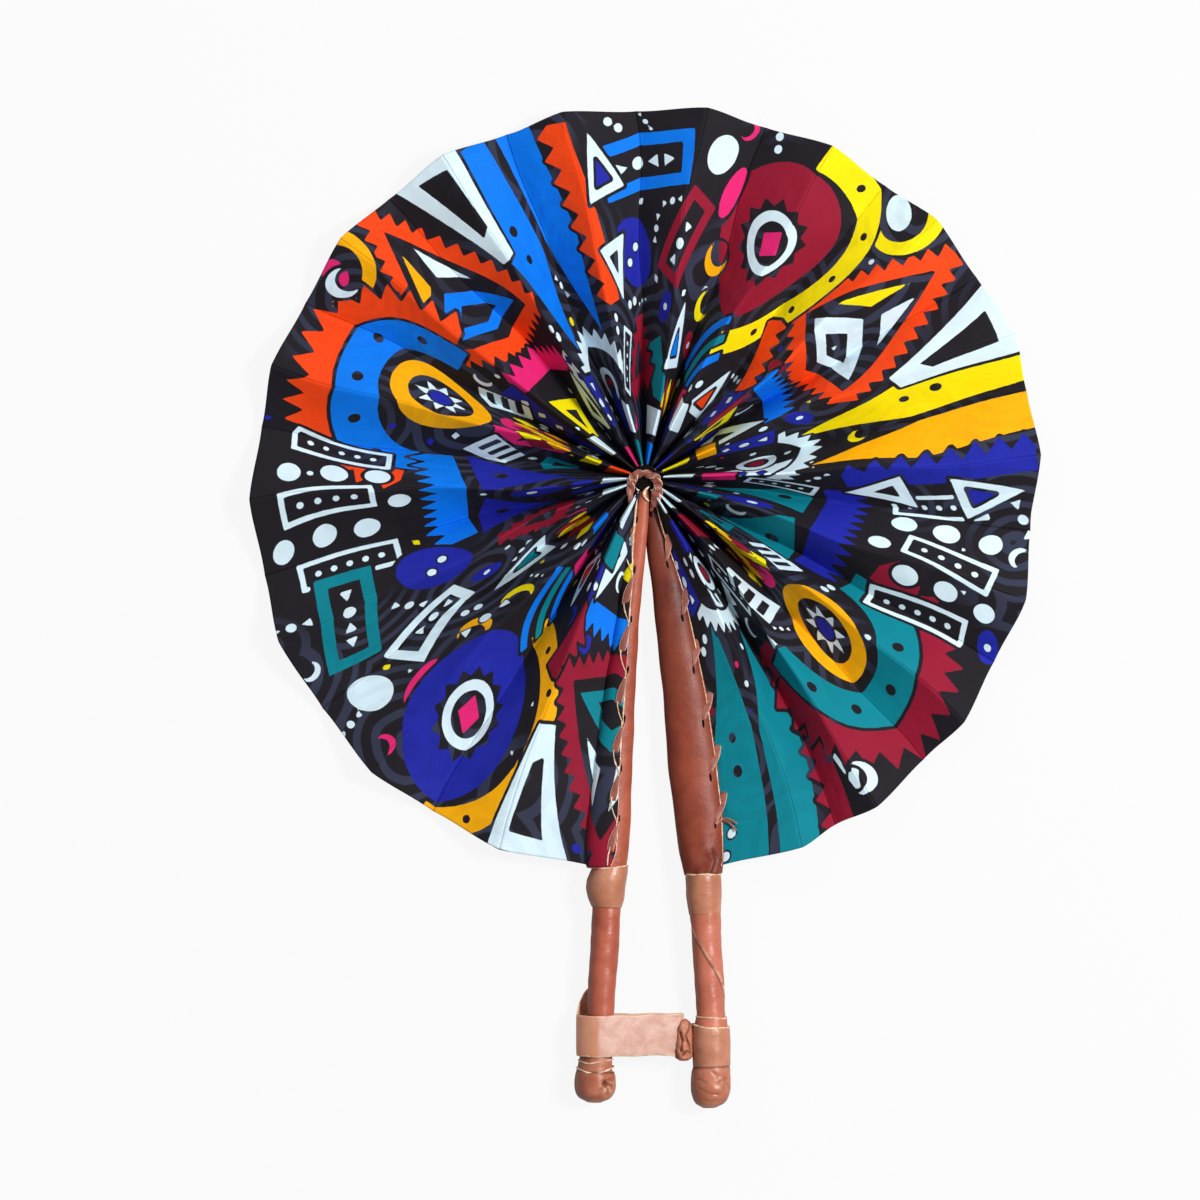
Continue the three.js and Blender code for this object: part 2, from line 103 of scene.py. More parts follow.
def smooth(x: Array | float) -> Array:
    """Smoothstep of x held between 0 and 1: 3x squared minus 2x cubed."""
    t = np.clip(x, 0.0, 1.0)
    return t * t * (3 - 2 * t)


def smooth_table(table: Table, key: Array, column: int, width: float) -> Array:
    """A table's column averaged over five places within a width, so that its corners are round."""
    offsets = np.linspace(-width, width, 5)
    return np.mean([look_up(table, key + o, column) for o in offsets], axis=0)


def bell(away: Array, width: float) -> Array:
    """A bell curve: 1 at nothing, about a third at the width."""
    return np.exp(-(away / width) ** 2)


def waves(x: Array, y: Array, scale: float, seed: int, count: int = 7) -> Array:
    """Smooth random field between about -1 and 1: a sum of sine waves in seeded directions.

    Args:
        x: first coordinate.
        y: second coordinate.
        scale: mean wave length in the units of x and y.
        seed: number that fixes the directions and phases.
        count: number of waves.

    Returns:
        The field, of the shape of x.
    """
    rng = np.random.default_rng(seed)
    total = np.zeros(np.broadcast(x, y).shape)
    for _ in range(count):
        angle = rng.uniform(0, TURN)
        length = scale * rng.uniform(0.6, 1.7)
        phase = rng.uniform(0, TURN)
        total = total + np.sin((x * math.cos(angle) + y * math.sin(angle)) * TURN / length + phase)
    return total / math.sqrt(count * 2.0)


def line_depth(lines: Lines, across: Array, down: Array, width: float) -> Array:
    """How near points lie to drawn lines: 1 on a line, falling off beside it like a bell.

    Args:
        lines: for each line its corners as (across, down).
        across: first coordinate of the points.
        down: second coordinate of the points.
        width: distance at which about a third is left.

    Returns:
        Values between 0 and 1.
    """
    depth = np.zeros(np.broadcast(across, down).shape)
    for line in lines:
        for (a0, d0), (a1, d1) in zip(line[:-1], line[1:]):
            ex, ey = a1 - a0, d1 - d0
            t = np.clip(((across - a0) * ex + (down - d0) * ey) / (ex * ex + ey * ey), 0, 1)
            away = np.hypot(across - a0 - ex * t, down - d0 - ey * t)
            depth = np.maximum(depth, bell(away, width))
    return depth


def seed_of(name: str) -> int:
    """Small fixed number from a name's letters."""
    return sum((i + 1) * ord(c) for i, c in enumerate(name)) % 997


def heading(degrees: float) -> Point:
    """Cosine and sine of an angle in degrees."""
    return math.cos(math.radians(degrees)), math.sin(math.radians(degrees))


def round_angles(count: int) -> Array:
    """Angles of evenly spaced points once round, without the last one."""
    return np.arange(count) / count * TURN


def rounded(wave: Array, power: float) -> Array:
    """A sine or cosine made squarer: its size to a power, with its sign."""
    return np.sign(wave) * np.abs(wave) ** power


def joined(*values: Array | float) -> Array:
    """Points or directions from their coordinates, which are spread to one shape."""
    return np.stack(np.broadcast_arrays(*values), axis=-1)


def unit(vectors: Array) -> Array:
    """Rows of vectors brought to length one."""
    return vectors / np.linalg.norm(vectors, axis=1, keepdims=True)


def averaged(values: Array, weights: Array) -> Array:
    """Running mean of values with these weights; the end values go on beyond the ends."""
    return np.convolve(np.pad(values, len(weights) // 2, mode="edge"), weights, "valid")


# Meshes from grids of points


def grid_faces(rows: int, columns: int, close_rows: bool, close_columns: bool) -> Array:
    """Quads of a grid, each as four indices, wrapping round in the closed directions.

    Args:
        rows: number of rows of points.
        columns: number of points in a row.
        close_rows: joins the last row to the first.
        close_columns: joins the last point of each row to its first.

    Returns:
        (n, 4) indices.
    """
    i = np.arange(rows if close_rows else rows - 1)
    j = np.arange(columns if close_columns else columns - 1)
    a, b = np.meshgrid(i, j, indexing="ij")
    a2, b2 = (a + 1) % rows, (b + 1) % columns
    quads = joined(a * columns + b, a2 * columns + b, a2 * columns + b2, a * columns + b2)
    return quads.reshape(-1, 4)


def closed_faces(rings: Array, cyclic: bool = False) -> Array:
    """Quads of a closed surface through rings of points, facing outwards.

    The volume inside them, from triple products about their middle, says whether they are turned round.

    Args:
        rings: (rows, columns, 3) points; each row is a closed ring.
        cyclic: joins the last ring to the first; otherwise each end is closed by a cap.

    Returns:
        (n, 4) indices.
    """
    rows, columns = rings.shape[:2]
    quads = grid_faces(rows, columns, cyclic, True)
    if not cyclic:
        order = np.arange(columns // 2 - 1)
        cap = joined(order, order + 1, columns - 2 - order, columns - 1 - order)
        quads = np.concatenate([quads, cap, ((rows - 1) * columns + cap)[:, ::-1]])
    points = rings.reshape(-1, 3) - rings.mean(axis=(0, 1))
    a, b, c, d = (points[quads[:, k]] for k in range(4))
    volume = (a * np.cross(b, c)).sum() + (a * np.cross(c, d)).sum()
    return quads[:, ::-1] if volume < 0 else quads


def mesh_object(
    name: str,
    points: Array,
    quads: Array,
    uv: Array | None = None,
    attributes: dict[str, Array] | None = None,
) -> Piece:
    """Makes a smooth shaded object from points in millimetres and quads.

    Args:
        name: the piece's name.
        points: (n, 3) points in the row frame, in millimetres.
        quads: (m, 4) indices.
        uv: (n, 2) texture coordinates of the points.
        attributes: (n, 3) vectors to keep on the points, by name.

    Returns:
        The linked object, at the origin.
    """
    mesh = bpy.data.meshes.new(name)
    mesh.vertices.add(len(points))
    mesh.vertices.foreach_set("co", (points * MM).astype(np.float32).ravel())
    mesh.loops.add(quads.size)
    mesh.loops.foreach_set("vertex_index", quads.astype(np.int32).ravel())
    mesh.polygons.add(len(quads))
    mesh.polygons.foreach_set("loop_start", np.arange(0, quads.size, 4, dtype=np.int32))
    mesh.update(calc_edges=True)
    mesh.validate()
    mesh.shade_smooth()
    if uv is not None:
        layer = mesh.uv_layers.new(name="cloth")
        layer.data.foreach_set("uv", uv[quads.ravel()].astype(np.float32).ravel())
    for key, values in (attributes or {}).items():
        kept = mesh.attributes.new(key, "FLOAT_VECTOR", "POINT")
        kept.data.foreach_set("vector", values.astype(np.float32).ravel())
    item = bpy.data.objects.new(name, mesh)
    bpy.context.scene.collection.objects.link(item)
    return item


def closed_sweep(
    name: str,
    rings: Array,
    cyclic: bool = False,
    across: Array | None = None,
    attributes: dict[str, Array] | None = None,
) -> Piece:
    """Closed surface through rings of points; an open row of rings is drawn in at its two ends.

    Args:
        name: the piece's name.
        rings: (rows, columns, 3) points in millimetres; each row is a closed ring.
        cyclic: joins the last ring to the first.
        across: for each point of a ring, its place across the piece from 0 to 1, kept as u.
        attributes: (rows, columns, 3) vectors to keep on the points, by name.

    Returns:
        The object, its faces outwards.
    """
    kept = dict(attributes or {})
    if not cyclic:
        ends = [(end, end.mean(axis=1, keepdims=True)) for end in (rings[:1], rings[-1:])]
        half, tip = ([m + (r - m) * share for r, m in ends] for share in (0.5, 0.02))
        rings = np.concatenate([tip[0], half[0], rings, half[1], tip[1]])
        kept = {k: np.concatenate([v[:1], v[:1], v, v[-1:], v[-1:]]) for k, v in kept.items()}
    uv = None
    if across is not None:
        rows = len(rings)
        uv = joined(across, (np.arange(rows) / (rows - 1))[:, None]).reshape(-1, 2)
    kept = {key: values.reshape(-1, 3) for key, values in kept.items()}
    return mesh_object(name, rings.reshape(-1, 3), closed_faces(rings, cyclic), uv, kept)


def ribbon(
    name: str,
    path: Array,
    flat: Array,
    width: Array | float,
    thick: Array | float,
    sides: int = 12,
    cyclic: bool = False,
) -> Piece:
    """Flat lace along a path: its section is a rounded box that lies along a given direction.

    Args:
        name: the piece's name.
        path: (n, 3) points in the row frame, in millimetres.
        flat: directions across the lace, (n, 3) or one for all.
        width: its width, one for all or one for each point.
        thick: its thickness, one for all or one for each point.
        sides: points round its section.
        cyclic: joins the last point to the first.

    Returns:
        The object, with u across the lace from edge to edge.
    """
    if cyclic:
        along = np.roll(path, -1, axis=0) - np.roll(path, 1, axis=0)
    else:
        along = np.gradient(path, axis=0)
    along = unit(along)
    side = unit(flat - (flat * along).sum(1, keepdims=True) * along)
    up = np.cross(along, side)
    angle = round_angles(sides)
    c, z = rounded(np.cos(angle), 0.6) / 2, rounded(np.sin(angle), 0.6) / 2
    wide, deep = (np.broadcast_to(np.asarray(v, float), (len(path),))[:, None, None] for v in (width, thick))
    rings = path[:, None] + side[:, None] * (c[None, :, None] * wide)
    rings = rings + up[:, None] * (z[None, :, None] * deep)
    return closed_sweep(name, rings, cyclic, across=c + 0.5)


def finish(item: Piece, material: Material, body: str, slot: str, *nodes: str) -> None:
    """Gives a piece its material and body and lets it stand for CAD nodes.

    Args:
        item: the piece.
        material: its material.
        body: the body that it rides on.
        slot: not used.
        nodes: CAD nodes that it replaces, if any.
    """
    item.data.materials.append(material)
    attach(item, body)
    if nodes:
        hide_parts(*nodes)
    log.info("%s: %d faces", item.name, len(item.data.polygons))


def dress_node(node: str, material: Material) -> None:
    """Gives a CAD node another material."""
    for item in bpy.context.scene.objects:
        if item.get("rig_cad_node") == node and item.type == "MESH":
            item.data.materials.clear()
            item.data.materials.append(material)


# Shader mathematics


class Signal:
    """A socket in a material's node tree; where it carries a number it works like one."""

    def __init__(self, shade: "Shade", socket: bpy.types.NodeSocket) -> None:
        """Keeps the material under construction and the socket."""
        self.shade = shade
        self.socket = socket

    def math(self, operation: str, *values: "Signal | float") -> "Signal":
        """Result of one Math node with these inputs."""
        return self.shade.node("ShaderNodeMath", {"operation": operation}, dict(enumerate(values)))

    def __add__(self, other: "Signal | float") -> "Signal":
        """Sum, also with a number on the left."""
        return self.math("ADD", self, other)

    __radd__ = __add__

    def __sub__(self, other: "Signal | float") -> "Signal":
        """Difference."""
        return self.math("SUBTRACT", self, other)

    def __rsub__(self, other: float) -> "Signal":
        """A number less this."""
        return self.math("SUBTRACT", other, self)

    def __mul__(self, other: "Signal | float") -> "Signal":
        """Product, also with a number on the left."""
        return self.math("MULTIPLY", self, other)

    __rmul__ = __mul__

    def __abs__(self) -> "Signal":
        """Size without its sign."""
        return self.math("ABSOLUTE", self)

    def sine(self) -> "Signal":
        """Sine, of radians."""
        return self.math("SINE", self)

    def step(self, low: float, high: float) -> "Signal":
        """Smooth step from 0 at low to 1 at high."""
        settings = {"interpolation_type": "SMOOTHSTEP"}
        values = {"Value": self, "From Min": low, "From Max": high}
        return self.shade.node("ShaderNodeMapRange", settings, values, "Result")

    def between(self, low: float, high: float) -> "Signal":
        """Linear change from low at 0 to high at 1."""
        return self * (high - low) + low


class Shade:
    """A material under construction: its tree, its shader and the patterns that feed it."""

    def __init__(self, name: str) -> None:
        """Starts a material with a Principled shader and the piece's coordinates."""
        self.material = bpy.data.materials.new(name)
        self.material.use_nodes = True
        self.tree = self.material.node_tree
        self.shader = self.tree.nodes["Principled BSDF"]
        self.place = self.node("ShaderNodeTexCoord", output="Object")

    def node(
        self,
        kind: str,
        settings: dict[str, object] | None = None,
        values: dict[int | str, object] | None = None,
        output: int | str = 0,
    ) -> Signal:
        """Adds any node: its settings first, then the values or links of its sockets.

        Args:
            kind: the node's type.
            settings: its properties by name.
            values: for each input socket a number, a tuple or a Signal to link.
            output: the output socket to use.

        Returns:
            That output.
        """
        node = self.tree.nodes.new(kind)
        for key, value in (settings or {}).items():
            setattr(node, key, value)
        for key, value in (values or {}).items():
            if isinstance(value, Signal):
                self.tree.links.new(value.socket, node.inputs[key])
            else:
                node.inputs[key].default_value = value
        return Signal(self, node.outputs[output])

    def scaled(self, x: float, y: float, z: float) -> Signal:
        """Object coordinates stretched by a scale on each axis."""
        return self.node("ShaderNodeMapping", values={"Vector": self.place, "Scale": (x, y, z)})

    def flat_place(self) -> Signal:
        """The piece's UV coordinates."""
        return self.node("ShaderNodeTexCoord", output="UV")

    def parts(self, vector: Signal) -> tuple[Signal, Signal, Signal]:
        """The three numbers of a vector."""
        first = self.node("ShaderNodeSeparateXYZ", values={0: vector})
        return tuple(Signal(self, first.socket.node.outputs[k]) for k in range(3))

    def noise(
        self, scale: float, detail: float = 4.0, vector: Signal | None = None, twist: float = 0.0
    ) -> Signal:
        """Noise texture value, on Object coordinates unless a vector is given."""
        values = {"Vector": vector or self.place, "Scale": scale, "Detail": detail, "Distortion": twist}
        return self.node("ShaderNodeTexNoise", values=values)

    def cells(self, scale: float, feature: str = "F1", vector: Signal | None = None) -> Signal:
        """Voronoi distance, on Object coordinates unless a vector is given."""
        values = {"Vector": vector or self.place, "Scale": scale}
        return self.node("ShaderNodeTexVoronoi", {"feature": feature}, values, "Distance")

    def attribute(self, name: str) -> tuple[Signal, Signal, Signal]:
        """The three numbers of a vector kept on the mesh."""
        return self.parts(self.node("ShaderNodeAttribute", {"attribute_name": name}, output="Vector"))

    def mix(self, share: Signal, low: Signal | Colour, high: Signal | Colour) -> Signal:
        """Colour that goes from low to high as the share goes from 0 to 1."""
        ends = [value if isinstance(value, Signal) else (*value, 1.0) for value in (low, high)]
        return self.node("ShaderNodeMix", {"data_type": "RGBA"}, {0: share, 6: ends[0], 7: ends[1]}, 2)

    def shaded(self, colour: Signal, tone: Signal) -> Signal:
        """Colour made darker or lighter by a tone, by Vector Math."""
        return self.node("ShaderNodeVectorMath", {"operation": "SCALE"}, {0: colour, "Scale": tone})

    def bump(self, height: Signal, distance: float, strength: float = 1.0) -> None:
        """Adds a bump of this height, in metres, before the shader's present normal."""
        values = {"Height": height, "Distance": distance, "Strength": strength}
        target = self.shader.inputs["Normal"]
        if target.is_linked:
            values["Normal"] = Signal(self, target.links[0].from_socket)
        self.feed("Normal", self.node("ShaderNodeBump", values=values))

    def feed(self, name: str, value: Signal) -> None:
        """Links one input of the shader."""
        self.tree.links.new(value.socket, self.shader.inputs[name])

    def fixed(self, **values: object) -> None:
        """Sets constants on the shader's own sockets, by name with underscores for spaces."""
        for key, value in values.items():
            self.shader.inputs[key.replace("_", " ")].default_value = value


def ink(red: int, green: int, blue: int) -> Colour:
    """Linear colour of a display colour given as three whole numbers up to 255."""
    values = [v / 255 for v in (red, green, blue)]
    return tuple(v / 12.92 if v <= 0.04045 else ((v + 0.055) / 1.055) ** 2.4 for v in values)


def dimmed(colour: Colour, share: float) -> Colour:
    """This share of a colour's light."""
    return tuple(share * c for c in colour)


# Print of the cloth


class Dye(Enum):
    """The colours printed on the dark ground, in the order of the cloth's colour channels."""

    AZURE = ink(0, 120, 235)
    ORANGE = ink(244, 70, 16)
    GOLD = ink(248, 174, 0)
    LEMON = ink(244, 226, 0)
    ICE = ink(218, 240, 250)
    TEAL = ink(0, 128, 144)
    CRIMSON = ink(146, 20, 48)
    MAGENTA = ink(228, 36, 116)
    ROYAL = ink(30, 38, 160)


AZURE, ORANGE, GOLD, LEMON, ICE, TEAL, CRIMSON, MAGENTA, ROYAL = Dye
CHANNEL = {dye: channel for channel, dye in enumerate(Dye)}
GROUND = ink(28, 25, 31)
GROUND_SWIRL = ink(52, 56, 76)

Field = Callable[[Array, Array], Array]


def disc(x: float, y: float, radius: float) -> Field:
    """Distance to a disc's edge: distance to its middle less its radius."""
    return lambda u, v: np.hypot(u - x, v - y) - radius


def hoop(x: float, y: float, radius: float, width: float) -> Field:
    """Distance to a ring: how far the distance to its middle is from its radius, less half its width."""
    return lambda u, v: np.abs(np.hypot(u - x, v - y) - radius) - width / 2


def crescent(x: float, y: float, radius: float, turn: float) -> Field:
    """Distance to a disc with a smaller disc cut out of its side."""
    c, s = heading(turn)
    whole = disc(x, y, radius)
    bite = disc(x + 0.45 * radius * c, y + 0.45 * radius * s, 0.82 * radius)
    return lambda u, v: np.maximum(whole(u, v), -bite(u, v))


def oval(x: float, y: float, across: float, along: float, turn: float) -> Field:
    """Near distance to an ellipse: its scaled radius less one, times its shorter half axis."""
    c, s = heading(turn)

    def distance(u: Array, v: Array) -> Array:
        """Distance at points of the strip."""
        a = ((u - x) * c + (v - y) * s) / across
        b = ((v - y) * c - (u - x) * s) / along
        return (np.hypot(a, b) - 1) * min(across, along)

    return distance


def shape(points: Points) -> Field:
    """Distance to a polygon: the least distance to its edges, negative inside by crossing count."""
    corners = np.array(points, float)

    def distance(u: Array, v: Array) -> Array:
        """Distance at points of the strip."""
        best = np.full(u.shape, 1e9)
        inside = np.zeros(u.shape, bool)
        for (ax, ay), (bx, by) in zip(corners, np.roll(corners, -1, axis=0)):
            ex, ey = bx - ax, by - ay
            wx, wy = u - ax, v - ay
            t = np.clip((wx * ex + wy * ey) / (ex * ex + ey * ey), 0, 1)
            best = np.minimum(best, np.hypot(wx - ex * t, wy - ey * t))
            crosses = (ay > v) != (by > v)
            at = ax + (v - ay) * ex / (ey if ey else 1e-9)
            inside ^= crosses & (u < at)
        return np.where(inside, -best, best)

    return distance


def turned(points: Points, x: float, y: float, turn: float, size: float = 1.0) -> list[Point]:
    """Points scaled, turned by degrees and moved."""
    c, s = (size * part for part in heading(turn))
    return [(x + a * c - b * s, y + a * s + b * c) for a, b in points]


def rhombus(half_width: float, half_height: float) -> list[Point]:
    """Corners of a diamond about its middle."""
    return [(-half_width, 0), (0, -half_height), (half_width, 0), (0, half_height)]


def polar(x: float, y: float, radii: Array, angles: Array) -> list[Point]:
    """Points at these radii and angles about a middle."""
    return [(x + r * math.cos(a), y + r * math.sin(a)) for r, a in zip(radii, angles)]


def bar(x: float, y: float, length: float, width: float, turn: float) -> Field:
    """Polygon of a straight bar about its middle."""
    a, b = length / 2, width / 2
    return shape(turned([(-a, -b), (a, -b), (a, b), (-a, b)], x, y, turn))


def star(x: float, y: float, outer: float, inner: float, count: int, turn: float = 0) -> Field:
    """Polygon of a star with this number of points."""
    steps = np.arange(2 * count)
    radii = np.where(steps % 2 == 0, outer, inner)
    angles = steps * math.pi / count + math.radians(turn)
    return shape(polar(x, y, radii, angles))


def comb(x: float, y: float, length: float, width: float, teeth: int, depth: float, turn: float) -> Field:
    """Polygon of a bar whose upper edge is a row of teeth."""
    base = [(length / 2, -width / 2), (-length / 2, -width / 2)]
    for i in range(teeth):
        left = -length / 2 + i * length / teeth
        base += [(left, width / 2), (left + length / teeth / 2, width / 2 + depth)]
    base.append((length / 2, width / 2))
    return shape(turned(base, x, y, turn))


def toothed(corners: Points, size: float, depth: float) -> Field:
    """Polygon whose sides carry teeth of about this width and depth on their outside."""
    points = []
    for (ax, ay), (bx, by) in zip(corners, [*corners[1:], corners[0]]):
        length = math.hypot(bx - ax, by - ay)
        count = max(2, round(length / size))
        nx, ny = (by - ay) / length * depth, (ax - bx) / length * depth
        for i in range(count):
            t, h = i / count, (i + 0.5) / count
            points.append((ax + (bx - ax) * t, ay + (by - ay) * t))
            points.append((ax + (bx - ax) * h + nx, ay + (by - ay) * h + ny))
    return shape(points)


def arch(
    x: float, y: float, radius: float, width: float, start: float, end: float,
    teeth: int = 0, depth: float = 0.0, taper: float = 0.0,
) -> Field:
    """Polygon of a bent band, with teeth on its outer edge if asked.

    Args:
        x: middle of the bend.
        y: middle of the bend.
        radius: radius of the band's middle line.
        width: width of the band.
        start: first angle in degrees.
        end: last angle in degrees.
        teeth: number of teeth.
        depth: how far they stand out; less than nothing points them inward.
        taper: share of the width that is gone at the end.

    Returns:
        The distance to it.
    """
    steps = max(24, 2 * teeth)
    share = np.linspace(0, 1, steps + 1)
    angles = np.radians(start + (end - start) * share)
    half = width / 2 * (1 - taper * share)
    tooth = abs(depth) * (np.arange(steps + 1) % 2) if teeth else 0.0
    outer = radius + half + (tooth if depth > 0 else 0.0)
    inner = radius - half - (tooth if depth < 0 else 0.0)
    return shape(polar(x, y, outer, angles) + polar(x, y, inner[::-1], angles[::-1]))


# Small marks by letter: triangles that point forward or back, and a diamond
MARKS = {
    "t": [(-0.8, -0.9), (0.9, 0), (-0.8, 0.9)],
    "T": [(0.8, -0.9), (-0.9, 0), (0.8, 0.9)],
    "d": rhombus(0.75, 1.15),
}


@dataclass
class Print:
    """A geometric cloth print: shapes laid one over the other on a strip, each with a dark outline.

    The fields are the strip's length before it repeats, the outline's width, how far distances count,
    where the pen stands (place, way and lift) and the shapes laid so far.
    """

    period: float = 1106.0
    outline: float = 1.65
    limit: float = 6.0
    at: tuple[float, int, float] = (0.0, 1, 0.0)
    layers: list[tuple[Field, Dye | None, float, Point]] = field(default_factory=list)

    def patch(self, points: Points, dye: Dye | None, at: float, reach: float, *outline: float) -> None:
        """Lays one polygon over what is there."""
        self.lay(shape(points), dye, at, reach, *outline)

    def lay(
        self, item: Field, dye: Dye | None, at: float, reach: float, outline: float | None = None
    ) -> None:
        """Lays one shape over what is there.

        Args:
            item: the shape's distance.
            dye: its colour, or None for the bare ground.
            at: its middle along the strip, from where the pen stands.
            reach: how far it goes to each side of that.
            outline: width of its outline where that isn't the usual one.
        """
        x, flip, lift = self.at

        def moved(u: Array, v: Array) -> Array:
            """The shape's distance, seen from where the pen stands."""
            return item(flip * (u - x), v - lift)

        middle = x + flip * at
        gap = self.outline if outline is None else outline
        self.layers.append((moved, dye, gap, (middle - reach, middle + reach)))

    def hole(self, item: Field, at: float, reach: float) -> None:
        """Lays the bare ground in a shape, without an outline."""
        self.lay(item, None, at, reach, outline=0)

    def row(self, dye: Dye, x: float, y: float, turn: float, step: float, kinds: str, size: float) -> None:
        """Lays a row of small marks, each by its letter; o is a dot."""
        c, s = heading(turn)
        for i, kind in enumerate(kinds):
            px, py = x + c * step * i, y + s * step * i
            dot = kind == "o"
            item = disc(px, py, size * 0.9) if dot else shape(turned(MARKS[kind], px, py, turn, size))
            self.lay(item, dye, px, size * 3, 0.8)

    def ladder(
        self, x: float, y: float, length: float, width: float, turn: float, dye: Dye, dots: int
    ) -> None:
        """Lays an outlined box with a row of dots in it."""
        line = 0.16 * width
        self.lay(bar(x, y, length, width, turn), dye, x, length)
        self.hole(bar(x, y, length - 2 * line, width - 2 * line, turn), x, length)
        c, s = heading(turn)
        for i in range(dots):
            t = ((i + 0.5) / dots - 0.5) * (length - 4 * line)
            self.lay(disc(x + c * t, y + s * t, 0.1 * width), dye, x, length, 0)

    def gate(
        self, x: float, y: float, length: float, width: float, turn: float, dye: Dye, bars: int
    ) -> None:
        """Lays a solid box with dark slots across it, wider at one end."""
        outline = [(-0.5, -0.36), (0.5, -0.5), (0.5, 0.5), (-0.5, 0.36)]
        self.patch(turned([(a * length, b * width) for a, b in outline], x, y, turn), dye, x, length)
        c, s = heading(turn)
        pitch = (length - 4) / bars
        off = 0.08 * width
        for i in range(bars):
            t = (i + 0.5) * pitch - (length - 4) / 2
            slot = bar(x + c * t - s * off, y + s * t + c * off, pitch * 0.52, width * 0.62, turn)
            self.hole(slot, x, length)

    def kite(self, x: float, y: float, size: float, turn: float, dye: Dye, heart: Dye | None) -> None:
        """Lays a long triangle with a triangular opening."""
        outer = turned([(-0.55, -0.6), (0.6, -0.45), (0.02, 1.0)], x, y, turn, size)
        inner = turned([(-0.2, -0.28), (0.26, -0.2), (0.02, 0.34)], x, y, turn, size)
        self.patch(outer, dye, x, size * 1.4)
        self.patch(inner, heart, x, size * 1.4, 1.4 if heart else 0.0)

    def lattice(
        self, x: float, y: float, turn: float, rows: int, columns: int, size: float, dyes: Sequence[Dye]
    ) -> None:
        """Lays diamonds in rows and columns."""
        for i in range(rows):
            for j in range(columns):
                a, b = (j + 0.5 * (i % 2)) * size * 1.42, i * size * 1.1
                px, py = turned([(a, b)], x, y, turn)[0]
                diamond = turned(rhombus(0.66, 1.05), px, py, turn, size)
                self.patch(diamond, dyes[(i + j) % len(dyes)], px, size * 2, 0.6)

    def distances(self, u: Array, v: Array) -> Array:
        """Distance to each dye's area at points of the strip, in millimetres, negative inside.

        Args:
            u: place along the strip.
            v: place across it, from the hub's side to the rim.

        Returns:
            (points, dyes) distances held within the limit.
        """
        out = np.full((u.size, len(Dye)), self.limit)
        for copy in (-1, 0, 1):
            shift = u - copy * self.period
            for item, dye, outline, (low, high) in self.layers:
                near = np.flatnonzero((shift > low - self.limit - 2) & (shift < high + self.limit + 2))
                if not near.size:
                    continue
                d = item(shift[near], v[near])
                block = np.maximum(out[near], -(d - outline)[:, None])
                if dye is not None:
                    block[:, CHANNEL[dye]] = np.minimum(block[:, CHANNEL[dye]], d)
                out[near] = block
        return np.clip(out, -self.limit, self.limit)


